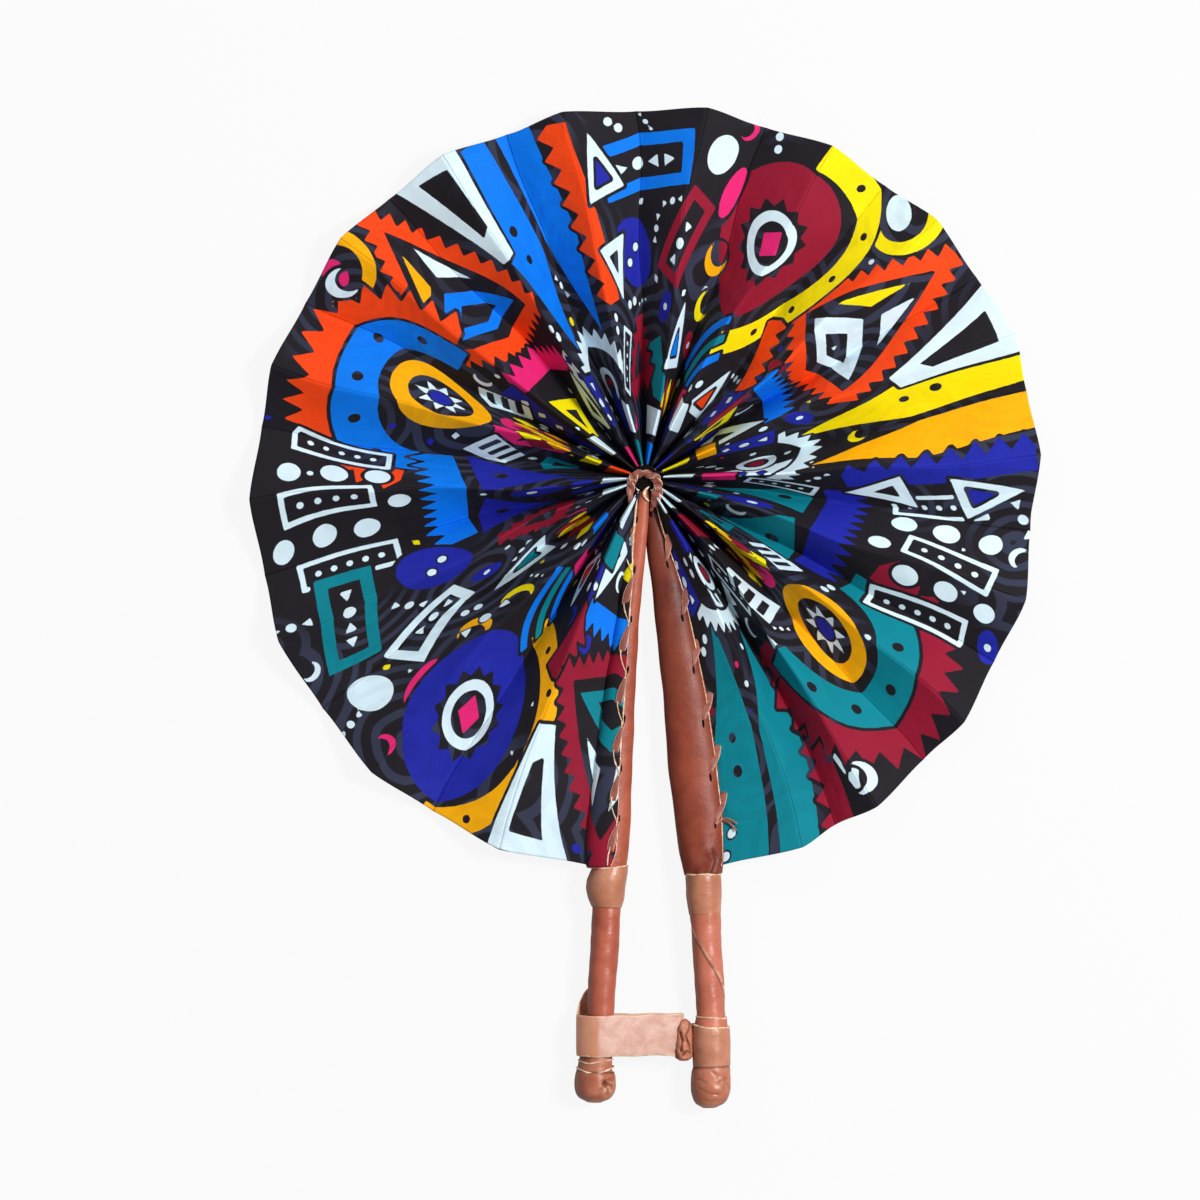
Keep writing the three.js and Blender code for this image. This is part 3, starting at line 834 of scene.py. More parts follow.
@dataclass
class WaxPrint(Print):
    """The design in nine dyes: wheels, blades, toothed frames, targets, ladders, boxes and small marks.

    The fields are the ridges' places along the strip and the middle of the first motif and their pitch.
    """

    ridges: tuple[float, ...] = ()
    first_zone: float = 40.0
    zone_width: float = 79.0

    def wheel(self, main: Dye, teeth: Dye, ring: Dye) -> None:
        """A wheel with a star under a dotted arch and a toothed one."""
        self.lay(arch(0, 80, 60, 10, 14, 168, 17, 9), teeth, 0, 80)
        self.lay(arch(0, 80, 45, 18, 8, 174), main, 0, 60)
        for angle in (32, 61, 90, 119, 148):
            c, s = heading(angle)
            self.hole(disc(45 * c, 80 + 45 * s, 2.5), 45 * c, 6)
        self.lay(disc(-2, 88, 23), ring, -2, 34)
        self.hole(disc(-2, 88, 15), -2, 30)
        self.lay(star(-2, 88, 12.5, 6.5, 8, 10), ICE, -2, 30, 0)
        self.lay(disc(-2, 88, 5), ROYAL, -2, 30, 1.2)
        self.gate(-32, 58, 24, 17, 62, ICE, 3)
        self.gate(29, 56, 22, 16, 118, ICE, 3)
        self.lay(oval(-2, 56, 9, 5, 0), MAGENTA, -2, 14)
        self.lattice(-16, 34, 4, 3, 4, 6.4, (GOLD, CRIMSON, LEMON))
        self.kite(34, 26, 16, 170, TEAL, None)
        self.lay(crescent(-40, 146, 7, 200), ICE, -40, 12)

    def blades(self, main: Dye, other: Dye, teeth: Dye) -> None:
        """Two pairs of long blades with a toothed bar beside them."""
        self.patch([(-46, 162), (-41, 112), (-18, 56), (-12, 104), (-20, 162)], main, -30, 40)
        self.patch([(-15, 162), (-8, 108), (10, 66), (14, 112), (4, 162)], other, 0, 40)
        self.lay(comb(24, 120, 82, 11, 8, 8, 96), teeth, 22, 50)
        self.row(ICE, -38, 152, -70, 9, "oo", 2.2)
        self.hole(disc(-27, 120, 2.6), -27, 6)
        self.hole(disc(-26, 106, 2.2), -26, 6)
        self.kite(36, 136, 19, 6, ICE, ROYAL)
        self.kite(37, 96, 18, 186, ICE, None)
        self.lay(arch(0, 26, 34, 5, 28, 150, 11, 5), ICE, 0, 44)
        self.lay(oval(0, 40, 10, 8, 0), ICE, 0, 16)
        self.lay(oval(0, 40, 4, 3.4, 0), CRIMSON, 0, 10)
        self.lay(bar(-32, 38, 26, 13, 74), ROYAL, -32, 20)
        self.row(ICE, -34, 30, 74, 8, "doT", 2.6)
        self.ladder(34, 52, 30, 12, 66, ICE, 4)

    def toothed_frame(self, teeth: Dye, face: Dye, inner: Dye) -> None:
        """A four-sided frame with teeth round it and chevrons in it."""
        self.lay(toothed([(-40, 82), (2, 68), (42, 88), (6, 156)], 8, 5.5), teeth, 0, 60)
        self.patch([(-31, 84), (2, 75), (34, 91), (5, 145)], None, 0, 46, 0)
        self.patch([(-24, 88), (2, 81), (26, 93), (5, 108)], face, 0, 40)
        self.patch([(-10, 89), (2, 86), (13, 92), (4, 99)], None, 0, 24, 0)
        self.patch([(-13, 105), (1, 115), (-1, 131)], ICE, -4, 20, 0.6)
        self.patch([(22, 104), (8, 114), (7, 133)], inner, 10, 20, 0.6)
        self.patch([(-47, 160), (-44, 106), (-34, 104), (-12, 160)], ICE, -30, 30)
        self.patch([(-39, 152), (-39, 122), (-34, 118), (-24, 152)], None, -30, 20, 0)
        self.lay(arch(36, 150, 15, 8, 120, 330, 0, 0, 0.4), inner, 36, 30)
        self.lay(oval(37, 149, 5, 7, 20), MAGENTA, 37, 12)
        self.lay(comb(-4, 56, 60, 8, 8, 6, 5), AZURE if face is not AZURE else MAGENTA, -4, 40)
        self.kite(-24, 30, 21, 20, ICE, None)
        self.kite(10, 30, 20, -164, LEMON, None)
        self.lay(bar(35, 44, 34, 15, 96), ROYAL, 35, 24)
        self.row(ICE, 36, 33, 96, 9, "ddd", 2.9)

    def target(self, main: Dye, band: Dye, teeth: Dye) -> None:
        """A big oval with a scalloped opening, beside a dotted band and ribbons."""
        self.lay(arch(8, 112, 47, 13, 96, 262), band, -10, 56)
        for angle in (124, 152, 180, 208, 236):
            c, s = heading(angle)
            self.hole(disc(8 + 47 * c, 112 + 47 * s, 1.9), 8 + 47 * c, 5)
        self.lay(oval(10, 114, 32, 37, 12), main, 10, 46)
        self.hole(star(10, 114, 20, 16, 13), 10, 30)
        self.lay(hoop(10, 114, 12, 4.5), ICE, 10, 22, 0.8)
        self.patch(turned(rhombus(1, 1.25), 10, 114, 24, 6.4), MAGENTA, 10, 12, 0.6)
        for radius, dye in ((40, AZURE), (50, TEAL), (60, AZURE)):
            self.lay(arch(-24, 24, radius, 6.5, 22, 64, 0, 0, 0.35), dye, 10, 44)
        self.lay(comb(-36, 66, 34, 10, 5, 7, 62), teeth, -36, 26)
        self.kite(-16, 38, 16, 14, ICE, ORANGE)
        self.lay(bar(10, 30, 20, 12, 84), MAGENTA, 10, 16)
        self.row(ICE, 42, 72, 84, 9, "toT", 3.0)
        self.lay(oval(-40, 152, 8, 6, 30), ICE, -40, 12)

    def ladders(self, main: Dye, teeth: Dye) -> None:
        """Upright ladders between pairs of discs, over a toothed bar and a wedge."""
        self.ladder(-33, 122, 44, 15, 84, ICE, 5)
        self.ladder(2, 128, 40, 15, 97, ICE, 4)
        self.ladder(35, 120, 42, 14, 82, ICE, 5)
        beads = ((-16, 112, 5.6), (-15, 130, 5.2), (-16, 148, 4.6), (19, 106, 5.4), (19, 124, 5.8),
                 (18, 143, 5.0), (0, 98, 4.8))
        for x, y, r in beads:
            self.lay(disc(x, y, r), ICE, x, 9)
        self.lay(comb(0, 76, 84, 12, 11, 8, 3), teeth, 0, 50)
        self.patch([(-44, 66), (-30, 30), (-4, 62)], main, -26, 26)
        self.patch([(6, 64), (22, 24), (44, 66)], main, 24, 26)
        self.hole(disc(24, 54, 3), 24, 8)
        self.hole(disc(-27, 54, 3), -27, 8)
        self.lay(oval(0, 40, 7, 12, 0), ROYAL, 0, 14)
        self.lay(disc(0, 43, 2.4), ICE, 0, 6, 0)
        self.row(ICE, -14, 24, 0, 9, "tdT", 3.0)

    def boxes(self, main: Dye, other: Dye) -> None:
        """Open boxes with rows of marks in them, discs, pods and crescents."""
        self.lay(bar(-18, 132, 50, 25, 8), main, -18, 34)
        self.hole(bar(-18, 132, 39, 14, 8), -18, 30)
        self.row(ICE, -31, 130, 8, 8.6, "toTt", 3.2)
        self.lay(disc(24, 138, 9), ICE, 24, 14)
        self.lay(oval(38, 122, 5.5, 12, -14), MAGENTA, 38, 14)
        self.lay(bar(12, 100, 42, 20, 64), other, 12, 34)
        self.hole(bar(12, 100, 32, 10, 64), 12, 30)
        self.row(ICE, 7, 90, 64, 7.6, "toT", 2.8)
        self.lay(oval(-26, 92, 13, 17, 34), ROYAL, -26, 24)
        self.row(ICE, -30, 88, 50, 8, "oo", 2.2)
        self.lay(crescent(38, 92, 8, 60), GOLD, 38, 12)
        self.lay(crescent(39, 70, 7.4, 40), LEMON, 39, 12)
        self.lay(toothed([(-40, 30), (-6, 36), (-22, 64)], 7, 5), CRIMSON, -22, 28)
        self.patch([(-32, 36), (-15, 39), (-23, 54)], None, -22, 20, 0)
        self.kite(18, 52, 20, -8, ICE, main)
        self.lattice(10, 26, -4, 2, 4, 5.6, (LEMON, CRIMSON))

    def wedges(self) -> None:
        """Long wedges that widen outward from the gathered part, one at every other ridge, under all else."""
        rng = np.random.default_rng(23)
        dyes = (ICE, MAGENTA, LEMON, ROYAL, ICE, AZURE, CRIMSON, ICE, TEAL, GOLD, ICE, ROYAL, MAGENTA)
        for i, x in enumerate(self.ridges):
            low, high = rng.uniform(22, 30), rng.uniform(50, 70)
            narrow, wide, lean = rng.uniform(4, 7), rng.uniform(7, 12), rng.uniform(-10, 10)
            if i % 2:
                continue
            top = x + lean
            outer = [(x - narrow, low), (x + narrow, low + 3), (top + wide, high), (top - 3, high + 5)]
            dye = dyes[i % len(dyes)]
            self.patch(outer, dye, x, 50)
            if i % 3 == 0:
                inner = [(x - 1, low + 14), (x + wide * 0.6 + lean, high - 8), (x + lean * 0.8, high - 10)]
                self.patch(inner, None, x, 50, 0)
            elif i % 3 == 1:
                contrast = ICE if dye is not ICE else ROYAL
                self.row(contrast, x + lean * 0.3, low + 16, 80, 8.5, "ddd", 2.7)

    def rays(self) -> None:
        """Blocks of colour on the part of the strip that the hub gathers, most of them on the ridges."""
        rng = np.random.default_rng(11)
        dyes = (ICE, TEAL, LEMON, ICE, MAGENTA, ROYAL, ICE, GOLD, CRIMSON, ICE, ORANGE, AZURE, ICE)
        self.hole(bar(self.period / 2, 9, self.period, 24, 0), self.period / 2, self.period / 2)
        for i, x in enumerate(self.ridges):
            low = rng.uniform(-2, 2)
            for k in range(2):
                long, lean = rng.uniform(9, 17), rng.uniform(-4, 4)
                left, right = rng.uniform(5, 16), rng.uniform(5, 16)
                block = [(x - left, low), (x + right, low + 1), (x + right * 0.9 + lean, low + long),
                         (x - left * 0.8 + lean, low + long - 2)]
                if (i + k) % 4 != 3:
                    self.patch(block, dyes[(i * 3 + k * 5) % len(dyes)], x, 30)
                low += long + 2.4
            side = x + 16 + rng.uniform(2, 6)
            if i % 2:
                self.lay(oval(side, rng.uniform(8, 24), 5, 10, rng.uniform(-20, 20)), ROYAL, side, 16)

    def scatter(self) -> None:
        """Small marks wherever enough bare ground is left, the larger ones first."""
        rng = np.random.default_rng(5)
        u, v = rng.uniform(0, self.period, 5200), rng.uniform(20, 154, 5200)
        usual, self.limit = self.limit, 16.0
        room = self.distances(u, v).min(axis=1)
        self.limit = usual
        taken = np.zeros((0, 3))
        # Size of the marks, their kinds and how many of the free places get one
        grades = ((9.5, "LPR", 1.0), (6.8, "rcDR", 1.0), (4.6, "rdo", 0.35), (3.2, "ot", 0.12))
        for size, kinds, share in grades:
            order = np.flatnonzero((room > size) & (rng.uniform(0, 1, room.size) < share))
            for k in order:
                apart = np.hypot(taken[:, 0] - u[k], taken[:, 1] - v[k])
                if (apart < taken[:, 2] + size + 0.4).any():
                    continue
                taken = np.vstack([taken, [u[k], v[k], size]])
                self.mark(kinds[int(rng.integers(len(kinds)))], float(u[k]), float(v[k]), size,
                          float(rng.uniform(0, 180)), int(rng.integers(6)))

    def mark(self, kind: str, x: float, y: float, size: float, turn: float, pick: int) -> None:
        """Lays one small mark of a kind at a place."""
        dye = (ICE, ICE, ICE, ROYAL, LEMON, MAGENTA)[pick]
        c, s = heading(turn)
        if kind == "L":
            self.ladder(x, y, size * 1.7, size * 0.95, turn, ICE, 3)
        elif kind == "P":
            pod = ROYAL if pick < 4 else CRIMSON
            self.lay(oval(x, y, size * 0.5, size * 0.8, turn), pod, x, size)
            self.lay(disc(x, y, size * 0.18), ICE, x, size, 0)
        elif kind in "Rr":
            step = size * 0.72
            self.row(ICE, x - c * step, y - s * step, turn, step, "toT", size * 0.27)
        elif kind == "c":
            self.lay(crescent(x, y, size * 0.66, turn), dye, x, size)
        elif kind == "D":
            for off in (-0.42 * size, 0.42 * size):
                self.lay(disc(x + c * off, y + s * off, size * 0.3), ICE, x, size, 0.8)
        elif kind == "o":
            self.lay(disc(x, y, size * 0.46), dye, x, size, 0.8)
        else:
            self.row(dye, x, y, turn, 1.0, kind, size * 0.46)

    def draw(self) -> "WaxPrint":
        """Lays the whole design along the strip and returns it."""
        # Lift and way of the pen, then the motif and its dyes
        zones = (
            (0, 1, self.blades, TEAL, TEAL, CRIMSON),
            (2, 1, self.wheel, TEAL, CRIMSON, GOLD),
            (-3, 1, self.ladders, TEAL, ROYAL),
            (0, -1, self.blades, LEMON, GOLD, ROYAL),
            (1, 1, self.toothed_frame, ORANGE, ICE, LEMON),
            (-2, 1, self.target, CRIMSON, LEMON, ORANGE),
            (2, -1, self.boxes, AZURE, CRIMSON),
            (-4, -1, self.blades, AZURE, AZURE, ORANGE),
            (3, 1, self.toothed_frame, ORANGE, AZURE, GOLD),
            (1, 1, self.wheel, AZURE, ORANGE, GOLD),
            (0, -1, self.ladders, ROYAL, AZURE),
            (-2, 1, self.boxes, TEAL, ICE),
            (2, -1, self.target, ROYAL, GOLD, CRIMSON),
            (-1, 1, self.toothed_frame, CRIMSON, TEAL, ICE),
        )
        self.wedges()
        for i, (lift, way, motif, *dyes) in enumerate(zones):
            self.at = (self.first_zone + self.zone_width * i, way, lift)
            motif(*dyes)
        self.at = (0, 1, 0)
        self.rays()
        self.scatter()
        return self


# Finishes


@dataclass(frozen=True)
class PrintedCotton:
    """Plain cotton with a wax print: dyes by distance, tonal swirls in the ground, crumple and weave."""

    edge: float = 0.16
    name: str = "printed_cotton"

    def material(self) -> Material:
        """Builds the material."""
        s = Shade(self.name)
        plane = s.flat_place()
        u, v, _ = s.parts(plane)
        # Tonal swirls: rings round scattered centres, two to a centimetre
        rings = (s.cells(20.0, "F1", plane) * 46.0 + s.noise(30.0, 2.0, plane) * 6.0).sine().step(0.0, 0.45)
        patch = s.noise(9.0, 1.0, plane).step(0.45, 0.55)
        swirl = rings * patch
        colour = s.mix(swirl, GROUND, GROUND_SWIRL)
        channels = [part for name in ("ink_a", "ink_b", "ink_c") for part in s.attribute(name)]
        wobble = (s.noise(260.0, 3.0, plane) - 0.5) * 0.5
        for dye, distance in zip(Dye, channels):
            cover = (0.0 - (distance + wobble)).step(-self.edge, self.edge)
            colour = s.mix(cover, colour, dye.value)
        # Uneven dye, faint swirls over the dyes and fine crackle of the wax
        uneven = s.noise(45.0, 5.0, plane).between(0.88, 1.08)
        crackle = s.cells(95.0, "DISTANCE_TO_EDGE", plane).step(0.0, 0.03).between(0.96, 1.0)
        s.feed("Base Color", s.shaded(colour, uneven * crackle * (1.0 - 0.06 * swirl)))
        threads = (u * 14000.0).sine() * 0.5 + (v * 14000.0).sine() * 0.5
        s.bump(threads, 0.00004, 0.5)
        s.bump(s.noise(90.0, 5.0, plane, 0.6), 0.0009, 0.45)
        s.bump(s.noise(26.0, 3.0, plane, 0.8), 0.003, 0.45)
        s.feed("Roughness", s.noise(60.0, 4.0, plane).between(0.6, 0.8))
        s.fixed(Specular_IOR_Level=0.16)
        return s.material


@dataclass(frozen=True)
class GlazedLeather:
    """Thin glazed leather: mottled colour, fine pores, soft creases and a shine that varies; with folds on,
    painted shade in grooves and on the left side, pale raw edges and painted highlights.
    """

    name: str
    dark: Colour
    light: Colour
    gloss: float = 0.36
    creases: float = 0.5
    rim: float = 0.0
    far: Colour | None = None
    axis: int = 1
    span: Point = (-0.06, 0.03)
    # With folds on, a vector kept on the mesh paints shade into grooves and onto the stick's left side, and
    # paints pale raw edges and highlights
    folds: bool = False
    patches: float = 0.35
    blur: float = 0.03
    shine: float = 0.45

    def material(self) -> Material:
        """Builds the material."""
        s = Shade(self.name)
        mottle = s.noise(38.0, 5.0).step(0.3, 0.7)
        fine = s.noise(170.0, 6.0, None, 0.4).step(0.3, 0.7)
        colour = s.mix(mottle * (1.0 - self.patches) + fine * self.patches, self.dark, self.light)
        if self.far:
            along = s.parts(s.place)[self.axis] + (s.noise(30.0, 3.0) - 0.5) * self.blur
            shadow = s.mix(mottle, self.far, tuple(0.6 * a + 0.4 * b for a, b in zip(self.far, self.light)))
            colour = s.mix(along.step(*self.span), colour, shadow)
        pores = s.cells(1500.0).step(0.0, 0.45)
        colour = s.mix(pores.between(0.3, 0.0), colour, dimmed(self.dark, 0.45))
        if self.folds:
            groove, pale_edge_and_highlight, turned = s.attribute("painted_light_and_edges")
            # Painted shade: darker on the stick's left side, away from the key light
            colour = s.mix(turned, colour, dimmed(self.dark, 0.22))
            # Darker along grooves: painted shade in folds and where one piece meets the next, and the dark
            # stitches of the left binding
            colour = s.mix(groove, colour, dimmed(self.dark, 0.16))
            # Pale raw edges, and painted highlights on the knobs' fold crests and along the tab's top edge
            colour = s.mix(pale_edge_and_highlight * s.noise(500.0, 4.0).step(0.35, 0.6), colour, ink(226, 190, 150))
        if self.rim:
            u = s.parts(s.flat_place())[0]
            ragged = abs(u * 2.0 - 1.0) + (s.noise(420.0, 3.0) - 0.5) * 0.3
            colour = s.mix(ragged.step(self.rim, self.rim + 0.08), colour, ink(232, 200, 164))
        s.feed("Base Color", colour)
        s.bump(pores, 0.00006, 0.6)
        s.bump(s.noise(420.0, 4.0), 0.00022, 0.7)
        s.bump(s.noise(1.0, 4.0, s.scaled(90.0, 260.0, 90.0)), 0.0007, self.creases)
        s.feed("Roughness", s.noise(120.0, 4.0).between(self.gloss - 0.07, self.gloss + 0.14))
        s.fixed(Specular_IOR_Level=self.shine)
        return s.material


@dataclass(frozen=True)
class RawEdge:
    """The pale fibrous edge of cut leather."""

    name: str = "raw_leather_edge"

    def material(self) -> Material:
        """Builds the material."""
        s = Shade(self.name)
        fibres = s.noise(500.0, 5.0).step(0.35, 0.7)
        s.feed("Base Color", s.mix(fibres, ink(206, 160, 120), ink(246, 226, 196)))
        s.bump(s.noise(1400.0, 4.0), 0.0002, 0.6)
        s.feed("Roughness", s.noise(300.0, 3.0).between(0.6, 0.85))
        return s.material


@dataclass(frozen=True)
class PlainWood:
    """Pale whittled wood with grain along the stick."""

    name: str = "whittled_wood"

    def material(self) -> Material:
        """Builds the material."""
        s = Shade(self.name)
        grain = s.noise(1.0, 6.0, s.scaled(600.0, 30.0, 600.0), 0.6).step(0.3, 0.7)
        s.feed("Base Color", s.mix(grain, ink(120, 84, 52), ink(176, 138, 92)))
        s.bump(grain, 0.0002, 0.5)
        s.feed("Roughness", grain.between(0.55, 0.75))
        return s.material


class Leather(Enum):
    """The leathers, the wood and a near-black for painted shade, by use."""

    BROWN = GlazedLeather("red_brown_leather", ink(146, 67, 46), ink(190, 98, 72), 0.4, 0.35,
                          folds=True, shine=0.3)
    DEEP = GlazedLeather("deep_brown_leather", ink(108, 42, 26), ink(152, 70, 48), 0.42, 0.3,
                         far=ink(78, 26, 13), span=(-0.07, 0.045), folds=True, shine=0.3)
    GRIP = GlazedLeather("grip_leather", ink(160, 74, 54), ink(196, 106, 82), 0.34, 0.26,
                         folds=True, shine=0.4)
    ROSE = GlazedLeather("rose_brown_leather", ink(176, 92, 68), ink(208, 122, 98), 0.34, 0.26,
                         folds=True, shine=0.4)
    TAN = GlazedLeather("tan_leather", ink(172, 104, 74), ink(206, 140, 112), 0.28, 0.14, folds=True)
    FOOT = GlazedLeather("foot_leather", ink(160, 86, 60), ink(202, 126, 98), 0.34, 0.35, folds=True)
    STRAP = GlazedLeather("strap_leather", ink(200, 146, 124), ink(232, 192, 178), 0.5, 0.2, 0.93,
                          far=ink(202, 126, 88), axis=0, span=(-0.0188, -0.0206), patches=0.6, blur=0.003)
    TAB = GlazedLeather("tab_leather", ink(158, 88, 63), ink(206, 132, 102), 0.4, 0.4, folds=True)
    THONG = GlazedLeather("thong_leather", ink(118, 58, 46), ink(170, 98, 84), 0.42, 0.3, 0.82)
    LACE = GlazedLeather("lace_leather", ink(118, 58, 46), ink(172, 100, 86), 0.4, 0.3, 0.86)
    # Near-black painted shade for the hub's recess and the thong's slits
    SOCKET = GlazedLeather("painted_shade_black", ink(9, 6, 6), ink(20, 11, 9), 0.8, 0.2, shine=0.1)
    EDGE = RawEdge()
    WOOD = PlainWood()


@dataclass
class Wardrobe:
    """Makes each finish's material once, when it is first asked for."""

    made: dict[Leather, Material] = field(default_factory=dict)

    def get(self, leather: Leather) -> Material:
        """The material of a finish."""
        if leather not in self.made:
            self.made[leather] = leather.value.material()
        return self.made[leather]


# Sticks


@dataclass
class Stick:
    """One stick: its centre line and the leather sleeve's sections, by distance down from the hub."""

    side: str
    sign: int
    body: str
    line: Table
    sleeve: Table
    around: int = 72
    line_blur: float = 8.0
    sleeve_blur: float = 6.0
    cloth_slope: float = 0.36

    def line_at(self, down: Array | float) -> Array:
        """The centre line with its corners rounded."""
        offsets = np.linspace(-self.line_blur, self.line_blur, 7)
        return np.mean([look_up(self.line, down + o) for o in offsets], axis=0)

    def wide(self, down: Array | float) -> Array:
        """Half width of the sleeve."""
        return smooth_table(self.sleeve, down, 1, self.sleeve_blur)

    def high(self, down: Array | float) -> Array:
        """Half height of the sleeve."""
        return smooth_table(self.sleeve, down, 2, self.sleeve_blur)

    def middle(self, down: Array | float) -> Array:
        """Height of the sleeve's centre."""
        return smooth_table(self.sleeve, down, 3, self.sleeve_blur)

    def side_azimuth(self, radius: Array, beyond: float) -> Array:
        """Azimuth in degrees where a line this far beyond the sleeve's outer side crosses each radius."""
        azimuth = np.full(np.shape(radius), 270.0)
        for _ in range(6):
            down = -radius * np.sin(np.radians(azimuth))
            x = look_up(self.line, down) + self.sign * (look_up(self.sleeve, down) + beyond)
            azimuth = 270 + np.degrees(np.arcsin(np.clip(x / radius, -0.99, 0.99)))
        return azimuth

    def place(self, down: Array, sideways: Array, height: Array) -> Array:
        """Points in the row frame from distances down, sideways from the centre line and upward."""
        slope = (self.line_at(down + 2) - self.line_at(down - 2)) / 4
        norm = np.sqrt(1 + slope * slope)
        return joined(self.line_at(down) + sideways / norm, -down + sideways * slope / norm, height) + HUB

    def face(self, down: Array, outward: Array, back: bool = False) -> Array:
        """Height of what lies at an outward offset: the sleeve, or the cloth that rises beside it.

        Args:
            down: distances down from the hub.
            outward: offsets from the centre line towards the leaf.
            back: asks for the underside.

        Returns:
            Heights above the mid plane.
        """
        w, h, z = self.wide(down), self.high(down), self.middle(down)
        dome = h * np.sqrt(np.clip(1 - (outward / w) ** 2, 0.0, 1.0))
        cloth = self.cloth_slope * np.clip(outward - w, 0, None)
        if back:
            return np.minimum(z - dome, cloth - 0.5)
        return np.maximum(z + dome, cloth + 0.4)

    def shell(
        self, down: Array, wide: Array, high: Array, middle: Array | float,
        extra: Array | float = 0.0, shift: Array | float = 0.0,
    ) -> Array:
        """Rings round the stick: an oval at each distance, plus a relief, kept above what the fan lies on.

        Args:
            down: (rings, 1) distances down from the hub.
            wide: half widths.
            high: half heights.
            middle: height of the rings' centres.
            extra: relief added to both halves.
            shift: how far to the right of the centre line the rings stand.

        Returns:
            (rings, around, 3) points.
        """
        angle = self.angles()
        z = middle + (high + extra) * np.sin(angle)
        sideways = self.sign * (wide + extra) * np.cos(angle) + shift
        return self.place(down, sideways, np.maximum(z, -REST_DEPTH))

    def painted_light_and_edges(self, groove: Array, pale_edge_and_highlight: Array | float = 0.0) -> Array:
        """The leather's attribute: painted shade in grooves, pale raw edges and painted highlights, and
        painted shade by how far the face turns to the left.
        """
        # Painted shade: faces that turn to the left, away from the key light, get darker
        left = smooth((-self.sign * np.cos(self.angles()) - 0.1) / 1.1) * 0.62
        return joined(groove, pale_edge_and_highlight, left)

    def angles(self) -> Array:
        """Angles round a section: 0 faces the leaf, a quarter turn the front, a half the other stick."""
        return round_angles(self.around)[None, :]


LEFT = Stick(
    "left", -1, "left_handle",
    ((0, 0), (18, -1.6), (35, -3.9), (61, -7.3), (95.5, -10.75), (130, -13.8), (167.7, -16.6), (185, -17.2),
     (232, -19.2), (250, -20.6), (262, -21.6), (272, -22)),
    ((5, 2.0, 1.8, 2.2), (8, 2.3, 1.8, 2.2), (12, 2.9, 1.8, 2.2), (30, 3.6, 2.3, 2.2), (46, 4.2, 3.4, 0.9),
     (64, 4.8, 4.2, 0), (95, 6.4, 4.8, 0), (121, 7.8, 5.2, 0), (140, 8.5, 5.7, 0), (158, 9.0, 6.4, 0),
     (167, 8.4, 7.0, 0), (180, 8.0, 7.0, 0)),
)
RIGHT = Stick(
    "right", 1, "right_handle",
    ((0, 0), (12, 1.9), (18, 3.2), (24, 4.4), (30, 5.6), (46, 9.5), (64, 12.4), (95.5, 17.5), (121, 20.2),
     (151, 23.7), (179, 25.4), (210, 26.7), (243, 27.3), (263, 28.2), (274, 28.3)),
    ((5, 2.7, 1.8, -2.2), (12, 2.9, 1.8, -2.2), (18, 3.2, 2.0, -2.2), (24, 4.3, 2.1, -2.2),
     (30, 5.4, 2.3, -2.2), (46, 6.5, 3.4, -0.9), (64, 7.9, 4.2, 0), (95, 9.5, 4.8, 0), (121, 10.6, 5.2, 0),
     (140, 10.6, 5.7, 0), (156, 9.9, 6.4, 0), (167, 9.0, 7.0, 0), (172, 7.5, 7.0, 0), (180, 7.2, 7.0, 0)),
)
# Outward offset of each sleeve's raw edge from its centre line, by distance down
LEFT_EDGE = ((6, 2.6), (12, 2.8), (24, 2.6), (33, 1.9), (42, 0.6), (61, -0.4), (76, -1.0), (95, -1.7),
             (120, -2.0), (150, -3.2), (160, -3.5), (164, -2.4), (168, -0.9))
RIGHT_EDGE = ((6, 2.4), (12, 2.7), (24, 3.6), (30, 4.3), (46, 6.1), (64, 7.4), (95, 8.9), (121, 9.9),
              (140, 9.9), (156, 9.3), (165, 8.8), (168, 7.9), (171, 6.6))


# Leaf


